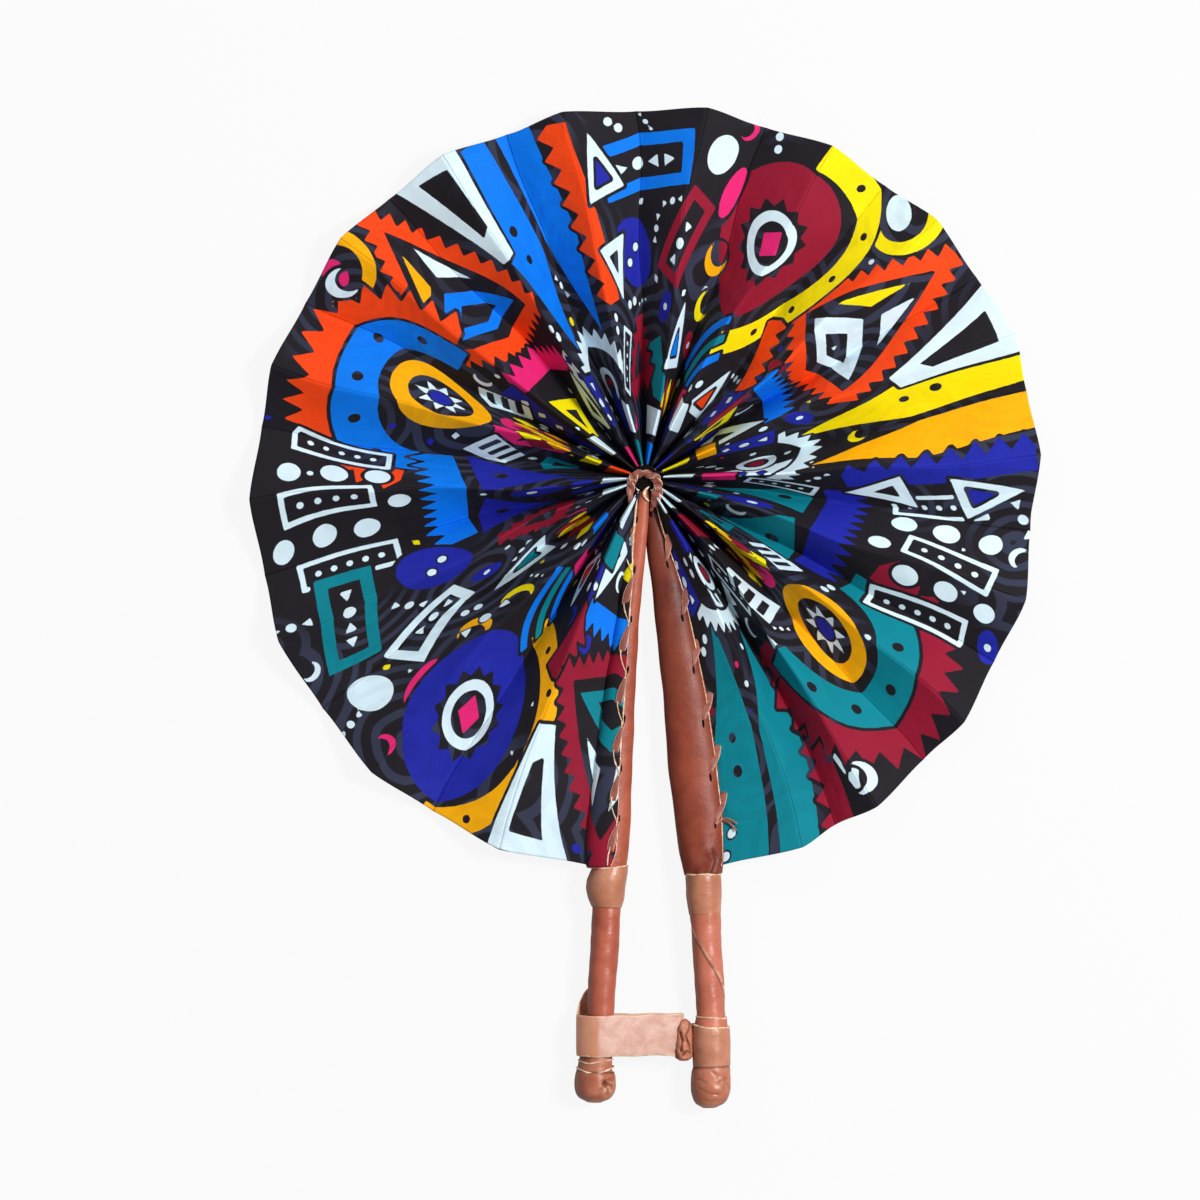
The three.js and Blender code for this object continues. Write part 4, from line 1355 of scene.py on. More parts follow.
@dataclass
class PleatedLeaf:
    """The round leaf: thirty-four panels of one printed strip, gathered at the hub.

    Angles are azimuths about the hub in degrees, lengths millimetres. The rim's radius is given by
    azimuth and the pleats' half height by radius; the insets are those of the panels next to an edge.
    """

    ridges: tuple[float, ...] = (
        -67, -55, -37, -18, 3, 22, 41, 60.5, 81, 102, 122.5, 142, 163, 183, 204.5, 227, 248.5,
    )
    start: float = -78.5
    end: float = 261.5
    inner: float = 5.8
    scallop: float = 2.2
    thickness: float = 0.4
    crowded: int = 8
    crowding_radius: float = 20.0
    rim: Table = (
        (-81, 171), (-50, 172), (-20, 171), (-5, 168.5), (12, 170), (26, 169.5), (40, 166.5), (55, 163.5),
        (75, 160.5), (92, 159.5), (110, 160.5), (135, 165), (162, 166.5), (185, 169.5), (210, 172),
        (235, 171.5), (262, 169.5),
    )
    heights: Table = (
        (5, 4.4), (8, 5.4), (20, 8.0), (40, 9.0), (85, 8.6), (130, 7.0), (170, 5.4), (200, 4.6),
    )
    per_gather: int = 6
    insets: tuple[float, ...] = (1.5, 0.5)
    across: int = 30
    along: int = 190
    bend_start: float = -30.0
    bend_end: float = 182.0
    print_depth: float = 158.0
    mean_rim: float = 168.0
    end_rim: float = 169.5
    rim_rise: float = 10.8
    rounding: float = 0.11
    least_width: float = 10.1
    clear_of_sleeve: float = 0.6
    under_sleeve: float = -1.1

    @property
    def count(self) -> int:
        """Number of panels."""
        return 2 * len(self.ridges)

    def crease(self, number: int) -> float:
        """Azimuth of a crease in degrees; odd ones are ridges and the end ones the leaf's edges."""
        if number == 0:
            return self.start
        if number == self.count:
            return self.end
        if number % 2:
            return self.ridges[(number - 1) // 2]
        return (self.ridges[number // 2 - 1] + self.ridges[number // 2]) / 2

    def crowded_azimuth(self, number: int, radius: Array) -> Array:
        """Azimuth in degrees of a crease where the sticks' sides push the leaf's edges away.

        The creases beside an edge give way by a share that falls evenly to nothing at the eighth.
        """
        at = np.maximum(radius, self.crowding_radius)
        push = np.maximum(0.0, RIGHT.side_azimuth(at, self.clear_of_sleeve) - 360 - self.start)
        pull = np.maximum(0.0, self.end - LEFT.side_azimuth(at, self.clear_of_sleeve))
        from_start = max(0.0, 1 - number / self.crowded)
        from_end = max(0.0, 1 - (self.count - number) / self.crowded)
        return self.crease(number) + push * from_start - pull * from_end

    def width(self, panel: int) -> float:
        """Width of a panel's cloth at the rim, in millimetres."""
        span = math.radians(self.crease(panel + 1) - self.crease(panel)) * self.mean_rim
        return math.hypot(span, self.rim_rise)

    def crease_line(self, number: int, radius: Array) -> Array:
        """Points of a crease about the hub; its azimuth wanders a little with the radius."""
        azimuth = self.crowded_azimuth(number, radius)
        height = look_up(self.heights, radius) * (1 if number % 2 else -1)
        if number in (0, self.count):
            stick, turn = (RIGHT, -360) if number == 0 else (LEFT, 0)
            # The leaf's edge runs under the outer side of the stick that it is sewn to
            azimuth = stick.side_azimuth(radius, self.under_sleeve) + turn
            height = stick.middle(radius)
        else:
            wander = 0.9 * np.sin(radius / 27.0 + number * 2.1) + 0.6 * np.sin(radius / 11.0 + number * 1.3)
            free = min(number, self.count - number, 4) / 4
            near = smooth((radius - 8) / 22.0) * (1 - smooth((radius - 40) / 60.0))
            lean = 2.4 * math.sin(number * 4.7 + 0.8) * near
            wander = wander * smooth(radius / 60.0) * (1 - 0.5 * smooth(radius / 170.0))
            azimuth = azimuth + free * (wander + lean)
        a = np.radians(azimuth)
        return joined(radius * np.cos(a), radius * np.sin(a), height)

    def surface(self, panel: int, s: Array, t: Array) -> Array:
        """Points of a panel: a straight run from crease to crease, rounded at both and gently bowed.

        Args:
            panel: number of the panel.
            s: 0 to 1 from its first crease to its second.
            t: 0 to 1 from the hub's side to the rim.

        Returns:
            (..., 3) points about the hub, in millimetres.
        """
        first, second = self.crease(panel), self.crease(panel + 1)
        edge = look_up(self.rim, first + (second - first) * s)
        tooth = self.scallop / 2 * np.cos(math.pi * s) * (-1 if panel % 2 == 0 else 1)
        from_edge = min(panel, self.count - 1 - panel)
        inner = self.inner + (self.insets[from_edge] if from_edge < len(self.insets) else 0.0)
        radius = inner + (edge + tooth - inner) * t
        a, b = self.crease_line(panel, radius), self.crease_line(panel + 1, radius)
        # Slope rises smoothly within the rounding at both creases, and the climb is its sum
        fine = np.linspace(0, 1, 201)
        soft = self.rounding
        slope = smooth((fine + soft * 0.3) / soft) * smooth((1 - fine + soft * 0.3) / soft)
        climb = np.concatenate([[0], np.cumsum((slope[1:] + slope[:-1]) / 2)])
        lift = np.interp(s, fine, climb / climb[-1])[..., None]
        point = a * (1 - s[..., None]) + b * s[..., None]
        point[..., 2] = (a * (1 - lift) + b * lift)[..., 2]
        rng = np.random.default_rng(40 + panel)
        bow = rng.uniform(-1.0, 1.0) * np.sin(math.pi * s) * smooth((radius - 20) / 60) * 0.9
        x, y = point[..., 0], point[..., 1]
        ripple = waves(x, y, 46, 5) * 0.55 + waves(x, y, 17, 6) * 0.16
        calm = smooth((radius - 14) / 50) * smooth(np.minimum(1, (172 - radius) / 30) * 0.6 + 0.4)
        point[..., 2] = np.maximum(point[..., 2] + bow + ripple * calm, 0.4 - REST_DEPTH)
        return point

    def lean(self, number: int, t: Array | float) -> Array | float:
        """How far along the strip a crease strays from square to its edge, most by the hub."""
        if number in (0, self.count):
            return 0.0
        return 8.5 * math.sin(number * 2.3 + 1.1) * (1 - t) ** 1.4 + 2.2 * np.sin(t * 8.0 + number * 1.9)

    def climb(self, number: int, t: Array) -> Array:
        """How far across the strip a crease strays, outward at ridges and inward at valleys."""
        size = 3.2 + 1.8 * math.sin(number * 5.1)
        return size * (1 if number % 2 else -1) * smooth(t / 0.3)

    def strip_place(self, panel: int, offset: float, s: Array, t: Array) -> tuple[Array, Array]:
        """Places along and across the printed strip of points of a panel that begins at this offset."""
        u = offset + s * self.width(panel) + (1 - s) * self.lean(panel, t) + s * self.lean(panel + 1, t)
        v = t * self.print_depth + (1 - s) * self.climb(panel, t) + s * self.climb(panel + 1, t)
        return u, v

    def sew(self, name: str, points: Array, u: Array, v: Array, design: Print, cloth: Material) -> Piece:
        """Args:
            name: the piece's name.
            points: (rows, columns, 3) points in the row frame.
            u: place of each point along the print.
            v: place of each point across it.
            design: the print.
            cloth: the cloth's material.

        Returns:
            The piece.
        """
        inks = design.distances(u.ravel(), v.ravel())
        kept = {f"ink_{k}": inks[:, 3 * i: 3 * i + 3] for i, k in enumerate("abc")}
        quads = grid_faces(*points.shape[:2], False, False)
        flat = points.reshape(-1, 3)
        normal = np.cross(flat[quads[:, 2]] - flat[quads[:, 0]], flat[quads[:, 3]] - flat[quads[:, 1]])
        if normal[:, 2].sum() < 0:
            quads = quads[:, ::-1]
        item = mesh_object(name, flat, quads, joined(u, v).reshape(-1, 2) * MM, kept)
        item.data.materials.append(cloth)
        wall = item.modifiers.new("cloth", "SOLIDIFY")
        wall.thickness = self.thickness * MM
        wall.offset = 0.0
        long, wide = (
            float(np.linalg.norm(np.diff(points, axis=k), axis=2).sum(axis=k).max()) * MM for k in (0, 1)
        )
        wide = max(self.least_width * MM, wide)
        return item

    def build(self, cloth: Material) -> None:
        """Makes the panels, the hem over the left sleeve and the doubled seam under the first edge."""
        starts = np.concatenate([[0.0], np.cumsum([self.width(k) for k in range(self.count)])])
        ridges = [float(starts[k] + self.lean(k, 0.12)) for k in range(1, self.count, 2)]
        design = WaxPrint(ridges=tuple(ridges)).draw()
        log.info("print: %d shapes", len(design.layers))
        t, s = np.meshgrid(
            np.linspace(0, 1, self.along + 1), np.linspace(0, 1, self.across + 1), indexing="ij"
        )
        for panel in range(self.count):
            points = self.surface(panel, s, t) + HUB
            u, v = self.strip_place(panel, starts[panel], s, t)
            item = self.sew(f"cloth_{panel + 1:02d}", points, u, v, design, cloth)
            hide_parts(f"leaf_panel_{panel + 1:02d}")
            self.bend(item, panel)
        self.make_hem(float(starts[-1]), design, cloth)
        self.make_flap(design, cloth)

    def bend(self, item: Piece, panel: int) -> None:
        """Bakes a panel's transform into its mesh."""
        middle = math.radians((self.crease(panel) + self.crease(panel + 1)) / 2)
        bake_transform(item)

    def make_flap(self, design: Print, cloth: Material) -> None:
        """The doubled seam under the leaf's first edge, which stays on the right sleeve as the fan shuts."""
        t = np.linspace(0.08, 0.985, 130)[:, None]
        s = np.linspace(0, 1, 10)[None, :] * np.clip(9.0 / (2.0 + 34.0 * t), 0, 0.8)
        points = self.surface(0, s, t) + HUB
        points[..., 2] -= 0.75
        u, v = self.strip_place(0, 0.0, s, t)
        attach(self.sew("right_hem", points, u, v, design, cloth), "right_handle")

    def make_hem(self, offset: float, design: Print, cloth: Material) -> None:
        """The leaf's last strip, which lies over the left sleeve from its outer side to its raw edge.

        It follows the sleeve's oval a little outside it, from just above the mid plane to the edge.
        """
        down = np.linspace(15, 167.5, 150)[:, None]
        share = np.linspace(0, 1, 22)[None, :]
        w, h, z = LEFT.wide(down), LEFT.high(down), LEFT.middle(down)
        edge = look_up(LEFT_EDGE, down)
        last = np.arccos(np.clip(edge / w, -0.98, 0.98))
        turn = 0.06 + (last - 0.06) * share
        lift = 0.28 + 0.12 * waves(down, share * 14, 13, 31)
        outward = (w + lift) * np.cos(turn)
        points = LEFT.place(down, LEFT.sign * outward, z + (h + lift) * np.sin(turn))
        steps = np.linalg.norm(np.diff(points, axis=1), axis=2)
        arc = np.pad(np.cumsum(steps, axis=1), ((0, 0), (1, 0)))
        t = (np.hypot(down, look_up(LEFT.line, down)) - self.inner) / (self.end_rim - self.inner)
        v = t * self.print_depth + self.climb(self.count, t)
        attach(self.sew("left_hem", points, offset + arc, v + 0 * share, design, cloth), "left_handle")


# Handles


@dataclass(frozen=True)
class Band:
    """One skin of leather round a stick: its finish, slot and drawn folds.

    A ring has a profile as well, which gives its radius and shift to the right by distance down.
    """

    piece: str
    leather: Leather
    slot: str
    profile: Table = ()
    tilt: float = 0.0
    folds: Lines = ()
    stands_for_node: bool = True


@dataclass(frozen=True)
class Pucker:
    """Where the leather of a knob is tucked in: angle round the stick, distance down and way of its folds."""

    angle: float
    down: float
    towards: float
    depth: float


@dataclass
class Handle:
    """Leather pieces of one handle, made from profiles of radius against distance down."""

    stick: Stick
    sleeve_end: float
    sleeve: Band
    bands: tuple[Band, ...]
    knob: Band
    pucker: Pucker
    wardrobe: Wardrobe
    wrap: Point | None = None

    def build(self) -> None:
        """Makes sleeve, bands and knob and dresses the wooden core."""
        self.make_sleeve()
        for band in self.bands:
            self.make_band(band)
        self.make_knob()
        dress_node(f"{self.stick.side}_core", self.wardrobe.get(Leather.WOOD))
        log.info("%s handle done", self.stick.side)

    def finish(self, item: Piece, leather: Leather, slot: str, *nodes: str) -> None:
        """Dresses a piece, lets it ride on the stick and stand for CAD nodes."""
        finish(item, self.wardrobe.get(leather), self.stick.body, slot, *nodes)

    def skin(self, band: Band, rings: Array, painted_light_and_edges: Array) -> None:
        """Makes a band, knob or sleeve from its rings and finishes it."""
        name = f"{self.stick.side}_{band.piece}"
        item = closed_sweep(f"{name}_leather", rings, attributes={"painted_light_and_edges": painted_light_and_edges})
        self.finish(item, band.leather, band.slot, *([name] if band.stands_for_node else []))

    def front_lines(self, lines: Lines, outward: Array, down: Array, width: float) -> Array:
        """Nearness to drawn lines, on the front half of the stick alone."""
        return line_depth(lines, outward, down, width) * (np.sin(self.stick.angles()) > 0)

    def make_sleeve(self) -> None:
        """The long leather sleeve: oval, a little wrinkled, with gathered folds above the collar."""
        stick = self.stick
        d = np.linspace(5.5, self.sleeve_end, 240)[:, None]
        a = stick.angles()
        near = smooth((d - self.sleeve_end + 24) / 22)
        folds = np.cos(a * 7 + d * 0.22 * stick.sign) * 0.4 + np.cos(a * 11 - d * 0.3) * 0.22
        wrinkles = waves(d, a * 6, 22, 11 + stick.sign) * 0.2 * smooth(d / 60)
        extra = (wrinkles + folds * near * 0.36) * smooth(d / 20)
        outward = stick.wide(d) * np.cos(a)
        sharp = self.sleeve.folds[:1]
        groove = self.front_lines(sharp, outward, d, 0.6)
        soft = self.front_lines(self.sleeve.folds[1:], outward, d, 1.5)
        crest = self.front_lines([[(x - 1.8, y + 0.4) for x, y in line] for line in sharp], outward, d, 1.2)
        relief = 0.6 * crest - 1.0 * groove - 0.8 * soft
        rings = stick.shell(d, stick.wide(d), stick.high(d), stick.middle(d), extra + relief)
        # Painted shade in the sharp fold and the soft folds
        self.skin(self.sleeve, rings, stick.painted_light_and_edges(0.6 * groove + 0.12 * soft))

    def make_band(self, band: Band) -> None:
        """A wrapped ring of leather whose ends turn in, with painted shade at its lower end; a wound grip
        instead has a pale edge to its turn and painted shadow below that edge.
        """
        stick = self.stick
        low, high = band.profile[0][0], band.profile[-1][0]
        d = np.pad(np.linspace(low + 0.05, high - 0.05, 90), 1, mode="edge")[:, None]
        near = np.minimum(d - low, high - d)
        turn_in = 0.22 * (1 - smooth(near / 0.5))
        turn_in[[0, -1]] += 0.5
        a = stick.angles()
        lap = 0.2 * (smooth(np.mod(a - 4.4, TURN) / 0.25) - 1)
        extra = waves(d, a * 7, 13, seed_of(band.piece)) * 0.15 + lap
        groove = self.front_lines(band.folds, 8 * np.cos(a), d, 0.4)
        extra = extra - 0.3 * groove
        # Painted shade at the ring's lower end, where the next piece meets it
        groove = np.maximum(groove, 0.75 * bell(high - d, 0.5))
        pale_edge_and_highlight = 0.0
        if self.wrap and band.piece == "grip":
            above, pitch = self.wrap
            line = above + pitch * np.mod(math.pi - a + math.pi / 3, TURN) / math.pi - pitch / 3
            extra = extra + 0.45 * (1 - smooth((d - line) / 0.5))
            # Pale raw edge at the turn's step, and painted shadow on the layer below it
            pale_edge_and_highlight = bell(d - line + 0.3, 0.95)
            groove = bell(d - line - 1.7, 0.8)
        radius = smooth_table(band.profile, d, 1, 0.8) - turn_in
        drop = band.tilt * np.cos(a) * (1 - smooth((d - low) / 9))
        rings = stick.shell(d + drop, radius, radius, 0.0, extra, smooth_table(band.profile, d, 2, 0.8))
        self.skin(band, rings, stick.painted_light_and_edges(groove * 0.8, pale_edge_and_highlight))

    def make_knob(self) -> None:
        """The foot: leather drawn over the end of the stick and tucked into a pucker on one side.

        Folds run out from the pucker like rays: a cosine of the direction round it, fading outward and
        strongest on one side of it.
        """
        stick = self.stick
        profile = self.knob.profile
        low, high = profile[0][0], profile[-1][0]
        d = np.linspace(low, high, 110)[:, None]
        a = stick.angles()
        across = (np.mod(a - self.pucker.angle + math.pi, TURN) - math.pi) * 9.0
        down = d - self.pucker.down
        away = np.hypot(across, down)
        way = np.arctan2(down, across)
        side = smooth((np.cos(way - self.pucker.towards) + 0.75) / 1.1)
        rays = np.cos(way * 7 + 0.9 * np.sin(away) + 0.8) * bell(away - 3.4, 2.6) * side
        hole = bell(away, 1.25)
        wrinkles = self.front_lines(self.knob.folds, 8.6 * np.cos(a), d, 0.6)
        strength = self.pucker.depth
        extra = strength * (0.5 * rays - 1.9 * hole) - 0.3 * wrinkles
        extra = extra + waves(d, a * 6, 9, 21 + stick.sign) * 0.18
        # Painted shade in the pucker's hole, in the troughs between folds, in the wrinkles and at the knob's
        # upper end
        dark = np.clip(strength * (hole + 0.2 * smooth((-rays - 0.2) * 2)) + 0.18 * wrinkles, 0, 1)
        dark = np.maximum(dark, 0.7 * bell(d - low, 0.7))
        # Painted highlights on the fold crests
        pale_edge_and_highlight = strength * 0.5 * smooth((rays - 0.3) * 2)
        radius = smooth_table(profile, d, 1, 0.9)
        rings = stick.shell(d, radius, radius, 0.0, extra, smooth_table(profile, d, 2, 0.9))
        self.skin(self.knob, rings, stick.painted_light_and_edges(dark, pale_edge_and_highlight))

    def edge_line(
        self, name: str, down: Array, outward: Array, width: float, thick: float = 0.7, lift: float = 0.12
    ) -> None:
        """A pale raw edge that runs along the sleeve's face and climbs over the cloth near the hub."""
        stick = self.stick
        height = stick.face(down, outward) + lift + 1.6 * (1 - smooth((down - 10) / 26))
        path = stick.place(down, stick.sign * outward, height)
        rng = np.random.default_rng(seed_of(name))
        uneven = np.interp(down, np.linspace(down[0], down[-1], 60), rng.uniform(0.6, 1.3, 60))
        lace = ribbon(name, path, np.array([1.0, 0.0, 0.0]), width * uneven, thick, 8)
        self.finish(lace, Leather.EDGE, self.sleeve.slot)

    def edge_ring(self, name: str, course: Table, radius: float, width: float, shift: float = 0.0) -> None:
        """A pale raw edge once round a band.

        Args:
            name: the piece's name.
            course: distance down by how far outward a point is, from -1 to 1.
            radius: radius of the ring.
            width: width of the edge.
            shift: how far to the right of the centre line the ring stands.
        """
        stick = self.stick
        a = round_angles(120)
        d = smooth_table(course, np.cos(a), 1, 0.12) + 0.1 * np.sin(a * 3 + course[0][1])
        z = np.maximum(radius * np.sin(a), -REST_DEPTH + 0.3)
        path = stick.place(d, stick.sign * radius * np.cos(a) + shift, z)
        uneven = width * (1 + 0.25 * np.sin(a * 5 + radius))
        lace = ribbon(name, path, np.array([0.0, 1.0, 0.0]), uneven, 0.5, 8, cyclic=True)
        self.finish(lace, Leather.EDGE, "leather_tan")


@dataclass
class Lacing:
    """The thong that sews the leaf to the outer edge of one sleeve, one slanted stitch for each slit."""

    handle: Handle
    slits: tuple[float, ...]
    edge: Table
    at_lower_end: bool
    width: float = 3.4
    narrow: float = 1.3
    back_share: float = 0.7

    def build(self) -> None:
        """Sews front and back passes in turn and lays a patch of painted shade where each goes through."""
        stick = self.handle.stick
        passes: list[Array] = []
        rng = np.random.default_rng(9 + stick.sign)
        previous: Point | None = None
        for slit in self.slits:
            upper, lower = self.ends(slit + float(rng.uniform(-0.8, 0.8)))
            if previous:
                passes.append(self.one_pass(previous, upper, True))
            passes.append(self.one_pass(upper, lower, False))
            previous = lower
        d, o, z, w = np.concatenate(passes, axis=1)
        path = stick.place(d, stick.sign * o, averaged(z, np.array([0.2, 0.6, 0.2])))
        run, fall = (np.gradient(averaged(path[:, k], np.ones(13) / 13)) for k in (0, 1))
        item = ribbon(f"{stick.side}_thong", path, joined(-fall, run, 0.0), w, 0.7)
        self.handle.finish(item, Leather.THONG, "leather_tan", f"{stick.side}_lacing")
        self.cut_slits()
        if self.at_lower_end:
            self.leave_ends()

    def leave_ends(self) -> None:
        """The thong's two loose ends, which stick out over the cloth below the last slit."""
        stick = self.handle.stick
        t = np.linspace(0, 1, 24)
        slit = self.slits[-1]
        for number, (far, drop) in enumerate(((8.6, 3.4), (9.2, 0.6))):
            outward = float(look_up(self.edge, slit)) - 2.6 + far * t
            down = slit + 0.9 - 2.0 * np.sin(math.pi * t) + drop * t * t
            height = stick.face(down, outward) + 0.3 + 0.5 * np.sin(math.pi * t) + 0.3 * number
            path = stick.place(down, stick.sign * outward, height)
            item = ribbon(f"loose_end_{number + 1}", path, np.array([0.15, 1.0, 0.0]), 1.5 - 0.8 * t, 0.5, 8)
            self.handle.finish(item, Leather.THONG, "leather_tan")

    def ends(self, slit: float) -> tuple[Point, Point]:
        """Upper and lower end of a stitch: distance down and outward offset, in that order."""
        edge = float(look_up(self.edge, slit))
        if self.at_lower_end:
            half = float(self.handle.stick.wide(slit - 12))
            return (slit - 12.2, half + 1.6), (slit, edge - 2.9)
        return (slit, edge - 0.7), (slit + 14.0, float(look_up(self.edge, slit + 14)) + 2.4)

    def one_pass(self, start: Point, end: Point, back: bool) -> Array:
        """One pass on the front or the back, which dives at both ends and bulges between them.

        Args:
            start: where it begins, distance down and outward offset.
            end: where it ends.
            back: puts it on the underside.

        Returns:
            Rows of distances down, outward offsets, heights and widths.
        """
        t = np.linspace(0, 1, 11 if back else 25)
        d = start[0] + (end[0] - start[0]) * t
        o = start[1] + (end[1] - start[1]) * t + 0.35 * np.sin(math.pi * t)
        face = self.handle.stick.face(d, o, back)
        arc = np.sin(math.pi * t)
        dive = 1 - smooth(np.minimum(t, 1 - t) / 0.09)
        height = face + (-1 if back else 1) * (0.45 + 0.4 * arc - 1.5 * dive)
        # Broad where the thong lies on the cloth, narrow where it goes through the leather
        broad = smooth((1 - t if self.at_lower_end else t) / 0.75) * (0.6 + 0.4 * arc)
        width = self.narrow + (self.width - self.narrow) * broad
        return np.stack([d, o, height, width * (self.back_share if back else 1.0)])

    def cut_slits(self) -> None:
        """Painted shade of the openings in the sleeve where the thong goes in: flat near-black lenses on its
        face.
        """
        stick = self.handle.stick
        points, quads = [], []
        ring = round_angles(16)
        for slit in self.slits:
            upper, lower = self.ends(slit)
            d, o = lower if self.at_lower_end else upper
            d += 0.9 if self.at_lower_end else -0.9
            rows = []
            for size, lift in ((0.05, -0.5), (0.8, -0.4), (1.0, 0.0), (0.8, 0.2), (0.05, 0.25)):
                down, out = d + 1.9 * size * np.sin(ring), o + 0.55 * size * np.cos(ring)
                rows.append(stick.place(down, stick.sign * out, stick.face(down, out) + lift))
            rings = np.array(rows)
            quads.append(closed_faces(rings) + sum(len(p) for p in points))
            points.append(rings.reshape(-1, 3))
        item = mesh_object(f"{stick.side}_slits", np.concatenate(points), np.concatenate(quads))
        self.handle.finish(item, Leather.SOCKET, "leather_dark")


# Hub


@dataclass
class Hub:
    """The twisted lace round the hub: gathered turns that hold the pleats and the lace through the eyes."""

    wardrobe: Wardrobe
    across: float = 5.7
    along: float = 4.0
    centre: Point = (-0.4, -2.1)
    level: float = 5.9
    spread: float = 0.75
    right_arm: Table = (
        (-78.5, 4.1, -12.6, 2.6, 0.15, 1.4), (-60, 4.8, -9.7, 4.2, 0.4, 3.6), (-42, 5.1, -7.0, 5.2, 0.6, 3.9),
        (-20, 5.4, -4.4, 5.8, 0.6, 3.0),
    )
    left_arm: Table = (
        (200, -6.0, -3.8, 5.6, 0.7, 2.4), (220, -6.2, -6.2, 5.2, 0.5, 2.3), (242, -5.9, -9.2, 4.4, 0.35, 2.1),
        (261.5, -5.7, -12.6, 3.3, 0.1, 1.2),
    )

    def course(self) -> Array:
        """Rows of azimuth, x, y, z, strand spread and strand width along the lace: an oval with two arms."""
        azimuth = np.arange(0, 181, 15.0)
        a = np.radians(azimuth)
        x, y = self.centre[0] + self.across * np.cos(a), self.centre[1] + self.along * np.sin(a)
        ring = joined(azimuth, x, y, self.level, self.spread, 2.3 + 0.5 * np.sin(3 * a))
        return np.concatenate([self.right_arm, ring, self.left_arm])

    def build(self, leaf: PleatedLeaf) -> None:
        """Makes one twisted turn for each gather, the lace through the sticks' eyes and the pale crescent."""
        for tie in range(math.ceil(leaf.count / leaf.per_gather)):
            first = leaf.crease(tie * leaf.per_gather)
            last = leaf.crease(min(leaf.count, (tie + 1) * leaf.per_gather))
            self.make_tie(tie, first, last)
        self.make_shank()
        self.make_crescent()

    def make_tie(self, tie: int, first: float, last: float) -> None:
        """One turn of two thin strands that twist round each other along the lace's course.

        A strand's centre is on the course plus a small circle whose angle grows with the azimuth.
        """
        course = self.course()
        azimuth = first + (last - first) * np.linspace(-0.01, 1.01, 60)
        x, y, z, spread, width = (smooth_table(course, azimuth, k, 6.0) for k in range(1, 6))
        a = np.radians(azimuth)
        twist = a * 5.0 + 0.6 * np.sin(a * 2.0 + 1.0)
        run = unit(joined(np.gradient(x), np.gradient(y)))
        side = joined(run[:, 1], -run[:, 0], 0.0)
        lace = self.wardrobe.get(Leather.LACE)
        for letter, phase in (("a", 0.0), ("b", math.pi)):
            out = spread * np.cos(twist + phase) + 0.25 * np.sin(a * 3 + 2)
            path = joined(x, y, z + spread * np.sin(twist + phase)) + side * out[:, None] + HUB
            flat = side + joined(0.0, 0.0, 0.35 * np.sin(twist))
            item = ribbon(f"hub_turn_{tie + 1}{letter}", path, flat, width, 1.2)
            finish(item, lace, f"pleat_gather_{tie + 1}", "leather_tan", f"gather_tie_{tie + 1}")

    def make_shank(self) -> None:
        """Lace through the eyes: a turned profile with a flat knot behind and a dish in front, all near-black
        as painted shade of the hub's recess.
        """
        profile = np.array([
            [0.3, -6.1], [3.6, -6.1], [4.7, -5.6], [4.9, -4.7], [4.3, -4.35], [2.55, -4.3], [2.55, 4.02],
            [5.5, 4.04], [5.75, 4.1], [5.7, 4.18], [4.4, 4.22], [3.4, 4.2], [1.5, 4.14], [0.3, 4.12],
        ])
        angle = round_angles(48)
        r = profile[:, :1] * (1 + 0.02 * np.sin(angle * 6)[None, :])
        item = closed_sweep("hub_shank", joined(r * np.cos(angle), r * np.sin(angle), profile[:, 1:]) + HUB)
        finish(item, self.wardrobe.get(Leather.SOCKET), "left_handle", "leather_brown", "hub_lace")

    def make_crescent(self) -> None:
        """The curled raw edge of the right sleeve's upper end, seen inside the ring."""
        t = np.linspace(-1, 1, 30)
        bulge = 1 - t * t
        path = joined(1.7 - 2.1 * bulge, -6.9 - 3.1 * t, 4.9 + 0.3 * bulge) + HUB
        item = ribbon("sleeve_curl", path, np.array([1.0, 0.0, 0.0]), 0.5 + 0.9 * bulge, 0.6, 8)
        finish(item, self.wardrobe.get(Leather.EDGE), "left_handle", "leather_tan")


# Strap


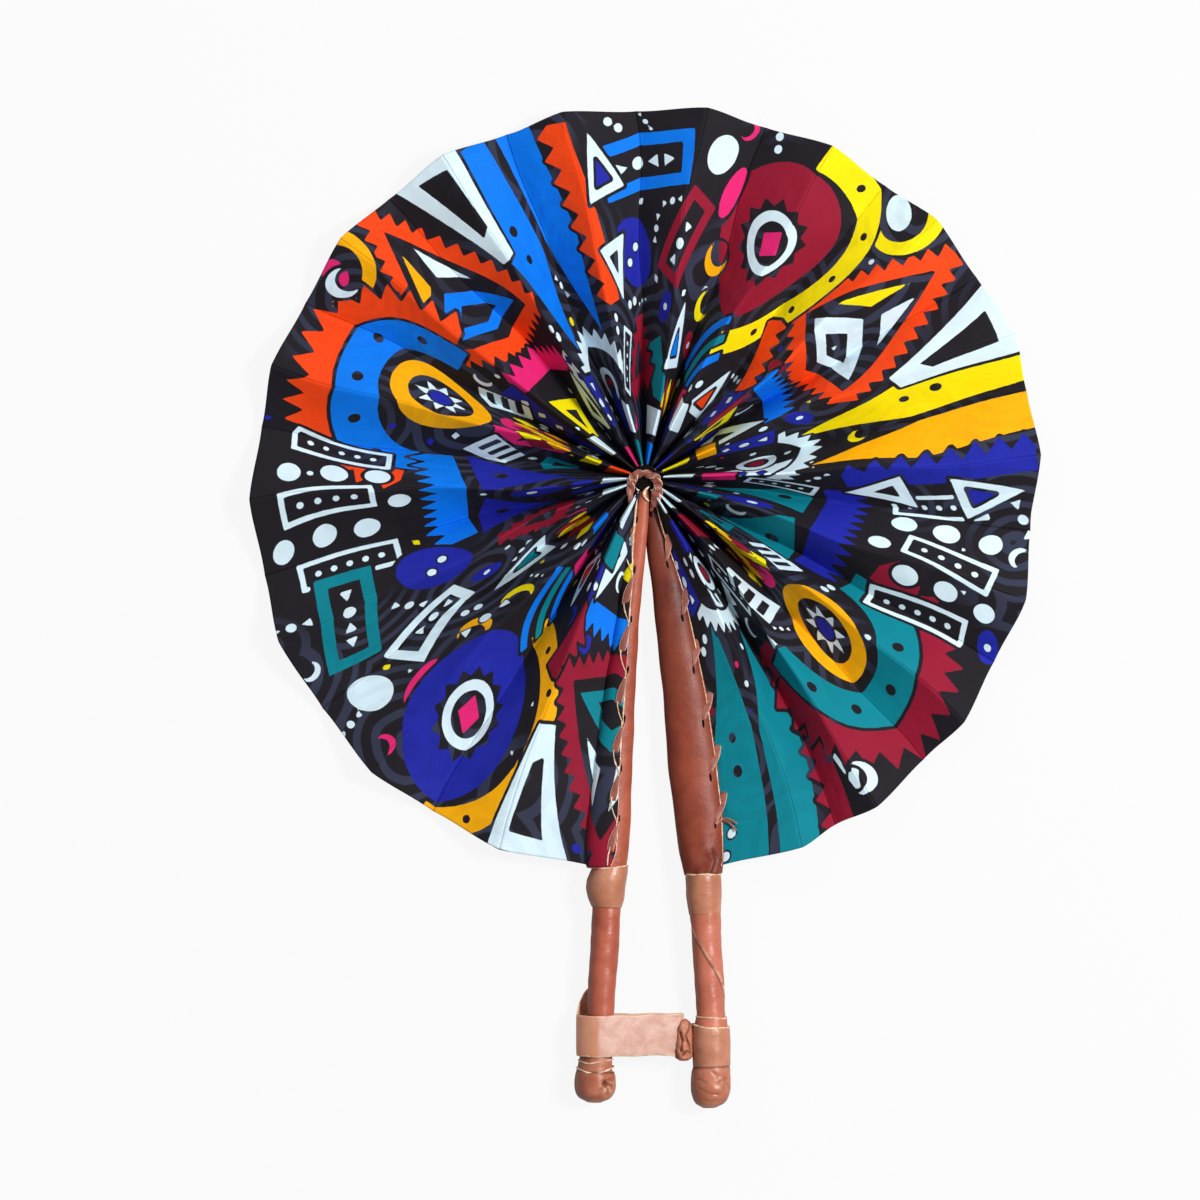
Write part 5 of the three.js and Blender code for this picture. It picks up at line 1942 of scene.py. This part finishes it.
@dataclass
class Strap:
    """The loop that holds the handles together and the gathered tab that fastens it."""

    wardrobe: Wardrobe
    top: float = 231.1
    width: float = 17.7
    thick: float = 1.0
    left: float = -29.7
    reach: float = 10.0
    right: float = 16.8
    end_radius: float = 3.4
    half_height: float = 8.6
    slack: float = 11.6
    back_share: float = 0.2
    tab_sides: Table = (
        (233.0, 15.6, 17.6), (233.6, 14.6, 19.0), (235.4, 13.6, 20.2), (240, 12.8, 20.6), (245, 12.3, 20.6),
        (248.6, 12.4, 20.6), (250.0, 13.4, 19.8), (250.6, 15.0, 18.0),
    )
    tab_folds: Lines = (
        ((15.0, 234.2), (14.0, 236.4), (13.3, 241), (13.1, 246), (14.2, 249.8)),
        ((19.4, 234), (18.7, 237), (17.4, 239.6), (18.6, 243.4), (19.4, 246)),
        ((15.1, 238.4), (15.9, 242), (15.4, 246.2)),
        ((16.0, 248.0), (17.8, 246.3), (19.6, 247.2)),
    )
    # Line along the tab's top edge that gets a painted highlight
    tab_highlight: Points = ((14.4, 233.2), (16.0, 234.8), (18.0, 236.4))

    def outline(self, grow: float, count: int) -> tuple[Array, Array]:
        """Closed path in x and z, and how far up each of its points is slack.

        A half oval goes round the left handle and a small half circle ends at the tab.

        Args:
            grow: how far inside the band's outer face the path runs.
            count: points on each of its longer parts.

        Returns:
            (n, 2) points and n shifts towards the hub.
        """
        a = np.linspace(math.pi / 2, 3 * math.pi / 2, count)
        b = np.linspace(-math.pi / 2, math.pi / 2, count // 2)
        small = self.end_radius - grow
        left = joined(
            self.left + self.reach + (self.reach - grow) * np.cos(a), (self.half_height - grow) * np.sin(a)
        )
        right = joined(self.right - self.end_radius + small * np.cos(b), small * np.sin(b))
        t = np.linspace(0, 1, count)[1:-1]
        under = left[-1] * (1 - t[:, None]) + right[0] * t[:, None]
        over = right[-1] * (1 - t[:, None]) + left[0] * t[:, None]
        shift = np.concatenate([
            self.slack * smooth((np.degrees(a) - 172) / 78), self.slack * (1 - smooth(t / self.back_share)),
            0 * b, 0 * t,
        ])
        return np.concatenate([left, under, right, over]), shift

    def build(self) -> None:
        """Makes the band, whose back is slack, and the tab."""
        middle, shift = self.outline(self.thick / 2, 40)
        tangent = unit(np.roll(middle, -1, axis=0) - np.roll(middle, 1, axis=0))
        normal = joined(tangent[:, 1], -tangent[:, 0])
        out = np.sign(((middle - middle.mean(0)) * normal).sum(1, keepdims=True))
        normal = normal * np.where(out == 0, 1, out)
        q = np.linspace(0, TURN, 28, endpoint=False)
        y = rounded(np.cos(q), 0.35) * self.width / 2
        n = rounded(np.sin(q), 0.5) * self.thick / 2
        near = smooth((middle[:, :1] - 6) / 8)
        squeeze = 1 + 0.03 * near
        x = middle[:, None, 0] + normal[:, None, 0] * n
        z = middle[:, None, 1] + normal[:, None, 1] * n
        rise = 0.5 * smooth((x + 28) / 40)
        level = -(self.top + self.width / 2) + y[None, :] * squeeze
        z = z + 0.4 * near * np.cos(y[None, :] * 1.3) * (middle[:, 1:] > 0)
        rings = joined(x, level + shift[:, None] + 0.15 * np.sin(x * 0.4) + rise, z) + HUB
        item = closed_sweep("strap_band", rings, cyclic=True, across=y / self.width + 0.5)
        finish(item, self.wardrobe.get(Leather.STRAP), "strap", "strap_leather", "strap_loop")
        self.make_tab()
        log.info("strap: %.0f mm of band", np.linalg.norm(np.diff(middle, axis=0), axis=1).sum())

    def make_tab(self) -> None:
        """The tab: the band's end gathered into folds and pressed against the lower collar.

        An upright pad: for each distance down a left and a right side, between them an oval, cut by
        grooves along drawn lines. The grooves get painted shade, and a line along the top edge a painted
        highlight.
        """
        d = np.linspace(self.tab_sides[0][0], self.tab_sides[-1][0], 120)[:, None]
        angle = round_angles(96)[None, :]
        left, right = (smooth_table(self.tab_sides, d, column, 0.5) for column in (1, 2))
        middle, half = (left + right) / 2, (right - left) / 2
        across = middle + half * np.cos(angle)
        front = np.sin(angle) > 0
        groove = line_depth(self.tab_folds, across, d, 0.42) * front
        # Painted highlight along the tab's top edge, also raised a little
        pale = line_depth([self.tab_highlight], across, d, 0.4) * front
        deep = 5.9 * np.sqrt(np.clip(half / 3.6, 0, 1))
        lumps = waves(across * 1.6, d, 5.5, 77) * 0.5
        z = (deep + lumps - 1.2 * groove + 0.5 * pale) * rounded(np.sin(angle), 0.7)
        # Painted shade in the folds and the painted highlight, kept on the mesh
        painted_light_and_edges = joined(0.6 * groove, pale, 0.0)
        item = closed_sweep("strap_tab", joined(across, -d, z) + HUB, attributes={"painted_light_and_edges": painted_light_and_edges})
        finish(item, self.wardrobe.get(Leather.TAB), "right_handle", "strap_leather", "strap_tie")


# Scene


@dataclass
class Studio:
    """Pale floor, soft lamps and a camera that looks straight down."""

    frame_width: float = 1200 * 0.43
    centre_x: float = -19.4
    centre_y: float = -52.5
    height: float = 2.6
    sensor: float = 36.0
    focus_level: float = 0.012

    def build(self) -> None:
        """Makes the floor, the lamps, the world and the camera."""
        scene = bpy.context.scene
        scene.view_settings.view_transform = "Standard"
        self.make_floor()
        self.make_world()
        self.lamp("key_lamp", (0.95, 0.2, 1.35), 25.0, 0.32)
        self.lamp("fill_lamp", (-0.7, 1.3, 1.0), 8.0, 1.1)
        camera = bpy.data.cameras.new("camera")
        item = bpy.data.objects.new("camera", camera)
        scene.collection.objects.link(item)
        x, y = (HUB[0] + self.centre_x) * MM, (HUB[1] + self.centre_y) * MM
        item.location = (x, y, self.height)
        camera.sensor_width = self.sensor
        camera.lens = self.sensor * (self.height - self.focus_level) / (self.frame_width * MM)
        scene.camera = item

    def make_floor(self) -> None:
        """A wide pale floor that the camera sees as near white, with the fan's soft shadow on it."""
        bpy.ops.mesh.primitive_plane_add(size=8, location=(0, 0, -0.0002))
        floor = bpy.context.object
        floor.name = "floor"
        s = Shade("pale_floor")
        s.fixed(Roughness=0.9, Base_Color=(0.6, 0.6, 0.6, 1))
        through, direct = (
            s.node("ShaderNodeLightPath", output=kind) for kind in ("Is Transmission Ray", "Is Camera Ray")
        )
        seen = through.math("MAXIMUM", through, direct) * 0.9
        glow = s.node("ShaderNodeEmission", values={"Color": (1, 1, 1, 1), "Strength": 1.0})
        plain = Signal(s, s.shader.outputs[0])
        both = s.node("ShaderNodeMixShader", values={0: seen, 1: plain, 2: glow})
        s.tree.links.new(both.socket, s.tree.nodes["Material Output"].inputs["Surface"])
        floor.data.materials.append(s.material)

    def make_world(self) -> None:
        """Even soft light from all sides."""
        world = bpy.data.worlds.new("studio")
        bpy.context.scene.world = world
        world.use_nodes = True
        world.node_tree.nodes["Background"].inputs["Color"].default_value = (1, 1, 1, 1)
        world.node_tree.nodes["Background"].inputs["Strength"].default_value = 0.3

    def lamp(self, name: str, place: Sequence[float], power: float, size: float) -> None:
        """Adds one square area lamp that points at the object."""
        data = bpy.data.lights.new(name, "AREA")
        data.energy = power
        data.size = size
        item = bpy.data.objects.new(name, data)
        item.location = place
        item.rotation_mode = "QUATERNION"
        item.rotation_quaternion = Vector(place).to_track_quat("Z", "Y")
        bpy.context.scene.collection.objects.link(item)


def write_sizes() -> None:
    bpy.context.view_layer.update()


def left_handle(wardrobe: Wardrobe) -> Handle:
    """The left handle's pieces."""
    stripes = tuple(((x, 248.6), (x - 0.2, 250.9)) for x in (6.9, 5.8, 4.6, 3.3))
    return Handle(
        LEFT, 168.2, Band("sleeve", Leather.BROWN, "leather_brown"),
        (
            Band("collar", Leather.TAN, "leather_tan",
                 ((167.0, 7.7, 1.4), (170, 8.2, 0.9), (173, 8.5, 0.3), (177, 8.4, -0.1), (181, 7.7, 0.2),
                  (184.9, 6.35, 0.6)), tilt=1.0),
            Band("grip", Leather.GRIP, "leather_brown",
                 ((183.0, 6.0, 0.6), (186, 6.1, 0.6), (200, 6.2, 0.6), (220, 5.9, 0.0), (231.9, 5.8, 0.0))),
            Band("binding", Leather.TAB, "leather_tan",
                 ((231.6, 6.4, -0.2), (247, 6.8, -0.5), (249.8, 7.1, -0.6), (252, 7.3, -0.7),
                  (255.9, 7.7, -0.6)), folds=stripes),
        ),
        Band("knob", Leather.FOOT, "leather_brown",
             ((255.0, 7.9, -0.4), (256.4, 8.6, -0.3), (260, 8.9, -0.1), (263, 8.8, 0.0), (265, 8.2, 0.0),
              (266.7, 7.1, 0.0), (267.7, 5.7, 0.0), (268.4, 3.8, 0.0), (268.7, 1.8, 0.0)),
             folds=(((-1.0, 266.0), (3.5, 266.6)),)),
        Pucker(2.12, 259.7, 0.7, 1.0), wardrobe,
    )


def right_handle(wardrobe: Wardrobe) -> Handle:
    """The right handle's pieces."""
    folds = (
        ((5.3, 160.4), (5.9, 162.1), (6.4, 164.0), (5.4, 166.6), (3.6, 170.2)),
        ((4.4, 162.6), (1.4, 163.9), (-1.0, 166.0), (-2.9, 168.1), (-4.3, 170.0)),
    )
    return Handle(
        RIGHT, 170.4, Band("sleeve", Leather.DEEP, "leather_dark", folds=folds),
        (
            Band("collar", Leather.TAN, "leather_tan",
                 ((170.3, 7.5, 0.0), (173, 7.65, 0.0), (179, 7.6, 0.0), (185, 7.1, 0.0), (187.9, 6.75, 0.0)),
                 tilt=0.3),
            Band("grip", Leather.ROSE, "leather_brown",
                 ((186.4, 6.2, 0.1), (189, 6.3, 0.1), (200, 6.1, 0.0), (217, 6.1, 0.6), (233.0, 6.1, 1.4))),
            Band("lower_lining", Leather.ROSE, "leather_tan",
                 ((231.9, 6.5, 1.4), (232.8, 6.8, 1.4), (237.0, 7.3, 1.1)), stands_for_node=False),
            Band("lower_collar", Leather.TAN, "leather_tan",
                 ((235.6, 8.1, 1.0), (238, 8.4, 1.0), (246, 8.3, 1.1), (253.3, 8.1, 1.0)), tilt=0.4),
        ),
        Band("knob", Leather.FOOT, "leather_brown",
             ((253.0, 7.8, 0.7), (255, 8.3, 0.5), (260, 8.5, 0.2), (264, 8.4, 0.1), (267, 7.7, 0.0),
              (268.8, 6.8, -0.2), (270.0, 5.3, -0.5), (270.7, 3.6, -0.7), (271.0, 1.8, -0.8)),
             folds=(((0.6, 255.2), (3.4, 258.2), (5.6, 262.6)), ((-5.5, 262), (-1, 264.4), (3, 264.8)),
                    ((-6.4, 258), (-2.4, 259.6)), ((-4, 267.2), (0, 268), (4, 267.4)))),
        Pucker(0.75, 258.6, 1.2, 0.35), wardrobe, wrap=(188.5, 34.0),
    )


def main() -> None:
    """Builds the fan's sub-assemblies in order, then the studio."""
    logging.basicConfig(level=logging.INFO, format="%(message)s")
    wardrobe = Wardrobe()
    leaf = PleatedLeaf()
    leaf.build(PrintedCotton().material())
    Hub(wardrobe).build(leaf)
    left, right = left_handle(wardrobe), right_handle(wardrobe)
    left.build()
    right.build()
    down = np.linspace(9, 166.5, 260)
    left.edge_line("left_raw_edge", down, look_up(LEFT_EDGE, down), 0.8)
    # The lining's edge bows out between one stitch and the next
    bow = np.sin(math.pi * np.clip(np.mod(down - 24, 21.35) / 16.5, 0, 1))
    lining = look_up(LEFT_EDGE, down) + 0.2 + 2.6 * bow
    left.edge_line("left_lining_edge", down[24:], lining[24:], 0.55, 0.5, 0.75)
    right.edge_line("right_raw_edge", down + 1, look_up(RIGHT_EDGE, down + 1), 0.5)
    left.edge_ring("left_collar_edge", ((-1, 166.3), (1, 168.4)), 7.75, 0.6, 1.4)
    binding = ((-1, 249.6), (-0.4, 250.4), (0.4, 251.9), (1, 251.2))
    knob = ((-1, 252.6), (-0.6, 254.2), (-0.1, 255.6), (0.4, 255.9), (1, 254.3))
    left.edge_ring("left_binding_edge", binding, 7.35, 0.5, -0.7)
    left.edge_ring("left_knob_edge", knob, 7.95, 0.75, -0.5)
    right.edge_ring("right_collar_edge", ((-1, 170.0), (1, 170.9)), 7.7, 0.8)
    right.edge_ring("lower_lining_edge", ((-1, 231.6), (1, 232.5)), 6.6, 0.7, 1.4)
    right.edge_ring("lower_collar_edge", ((-1, 234.9), (-0.2, 236.2), (1, 236.6)), 8.1, 0.75, 1.0)
    Lacing(left, (19.0, 40.4, 61.8, 83.2, 104.3, 125.7, 147.1), LEFT_EDGE, False).build()
    Lacing(right, (14.0, 37.0, 59.8, 82.6, 105.4, 128.6, 148.8), RIGHT_EDGE, True).build()
    Strap(wardrobe).build()
    Studio().build()
    write_sizes()


if __name__ == "__main__":
    main()
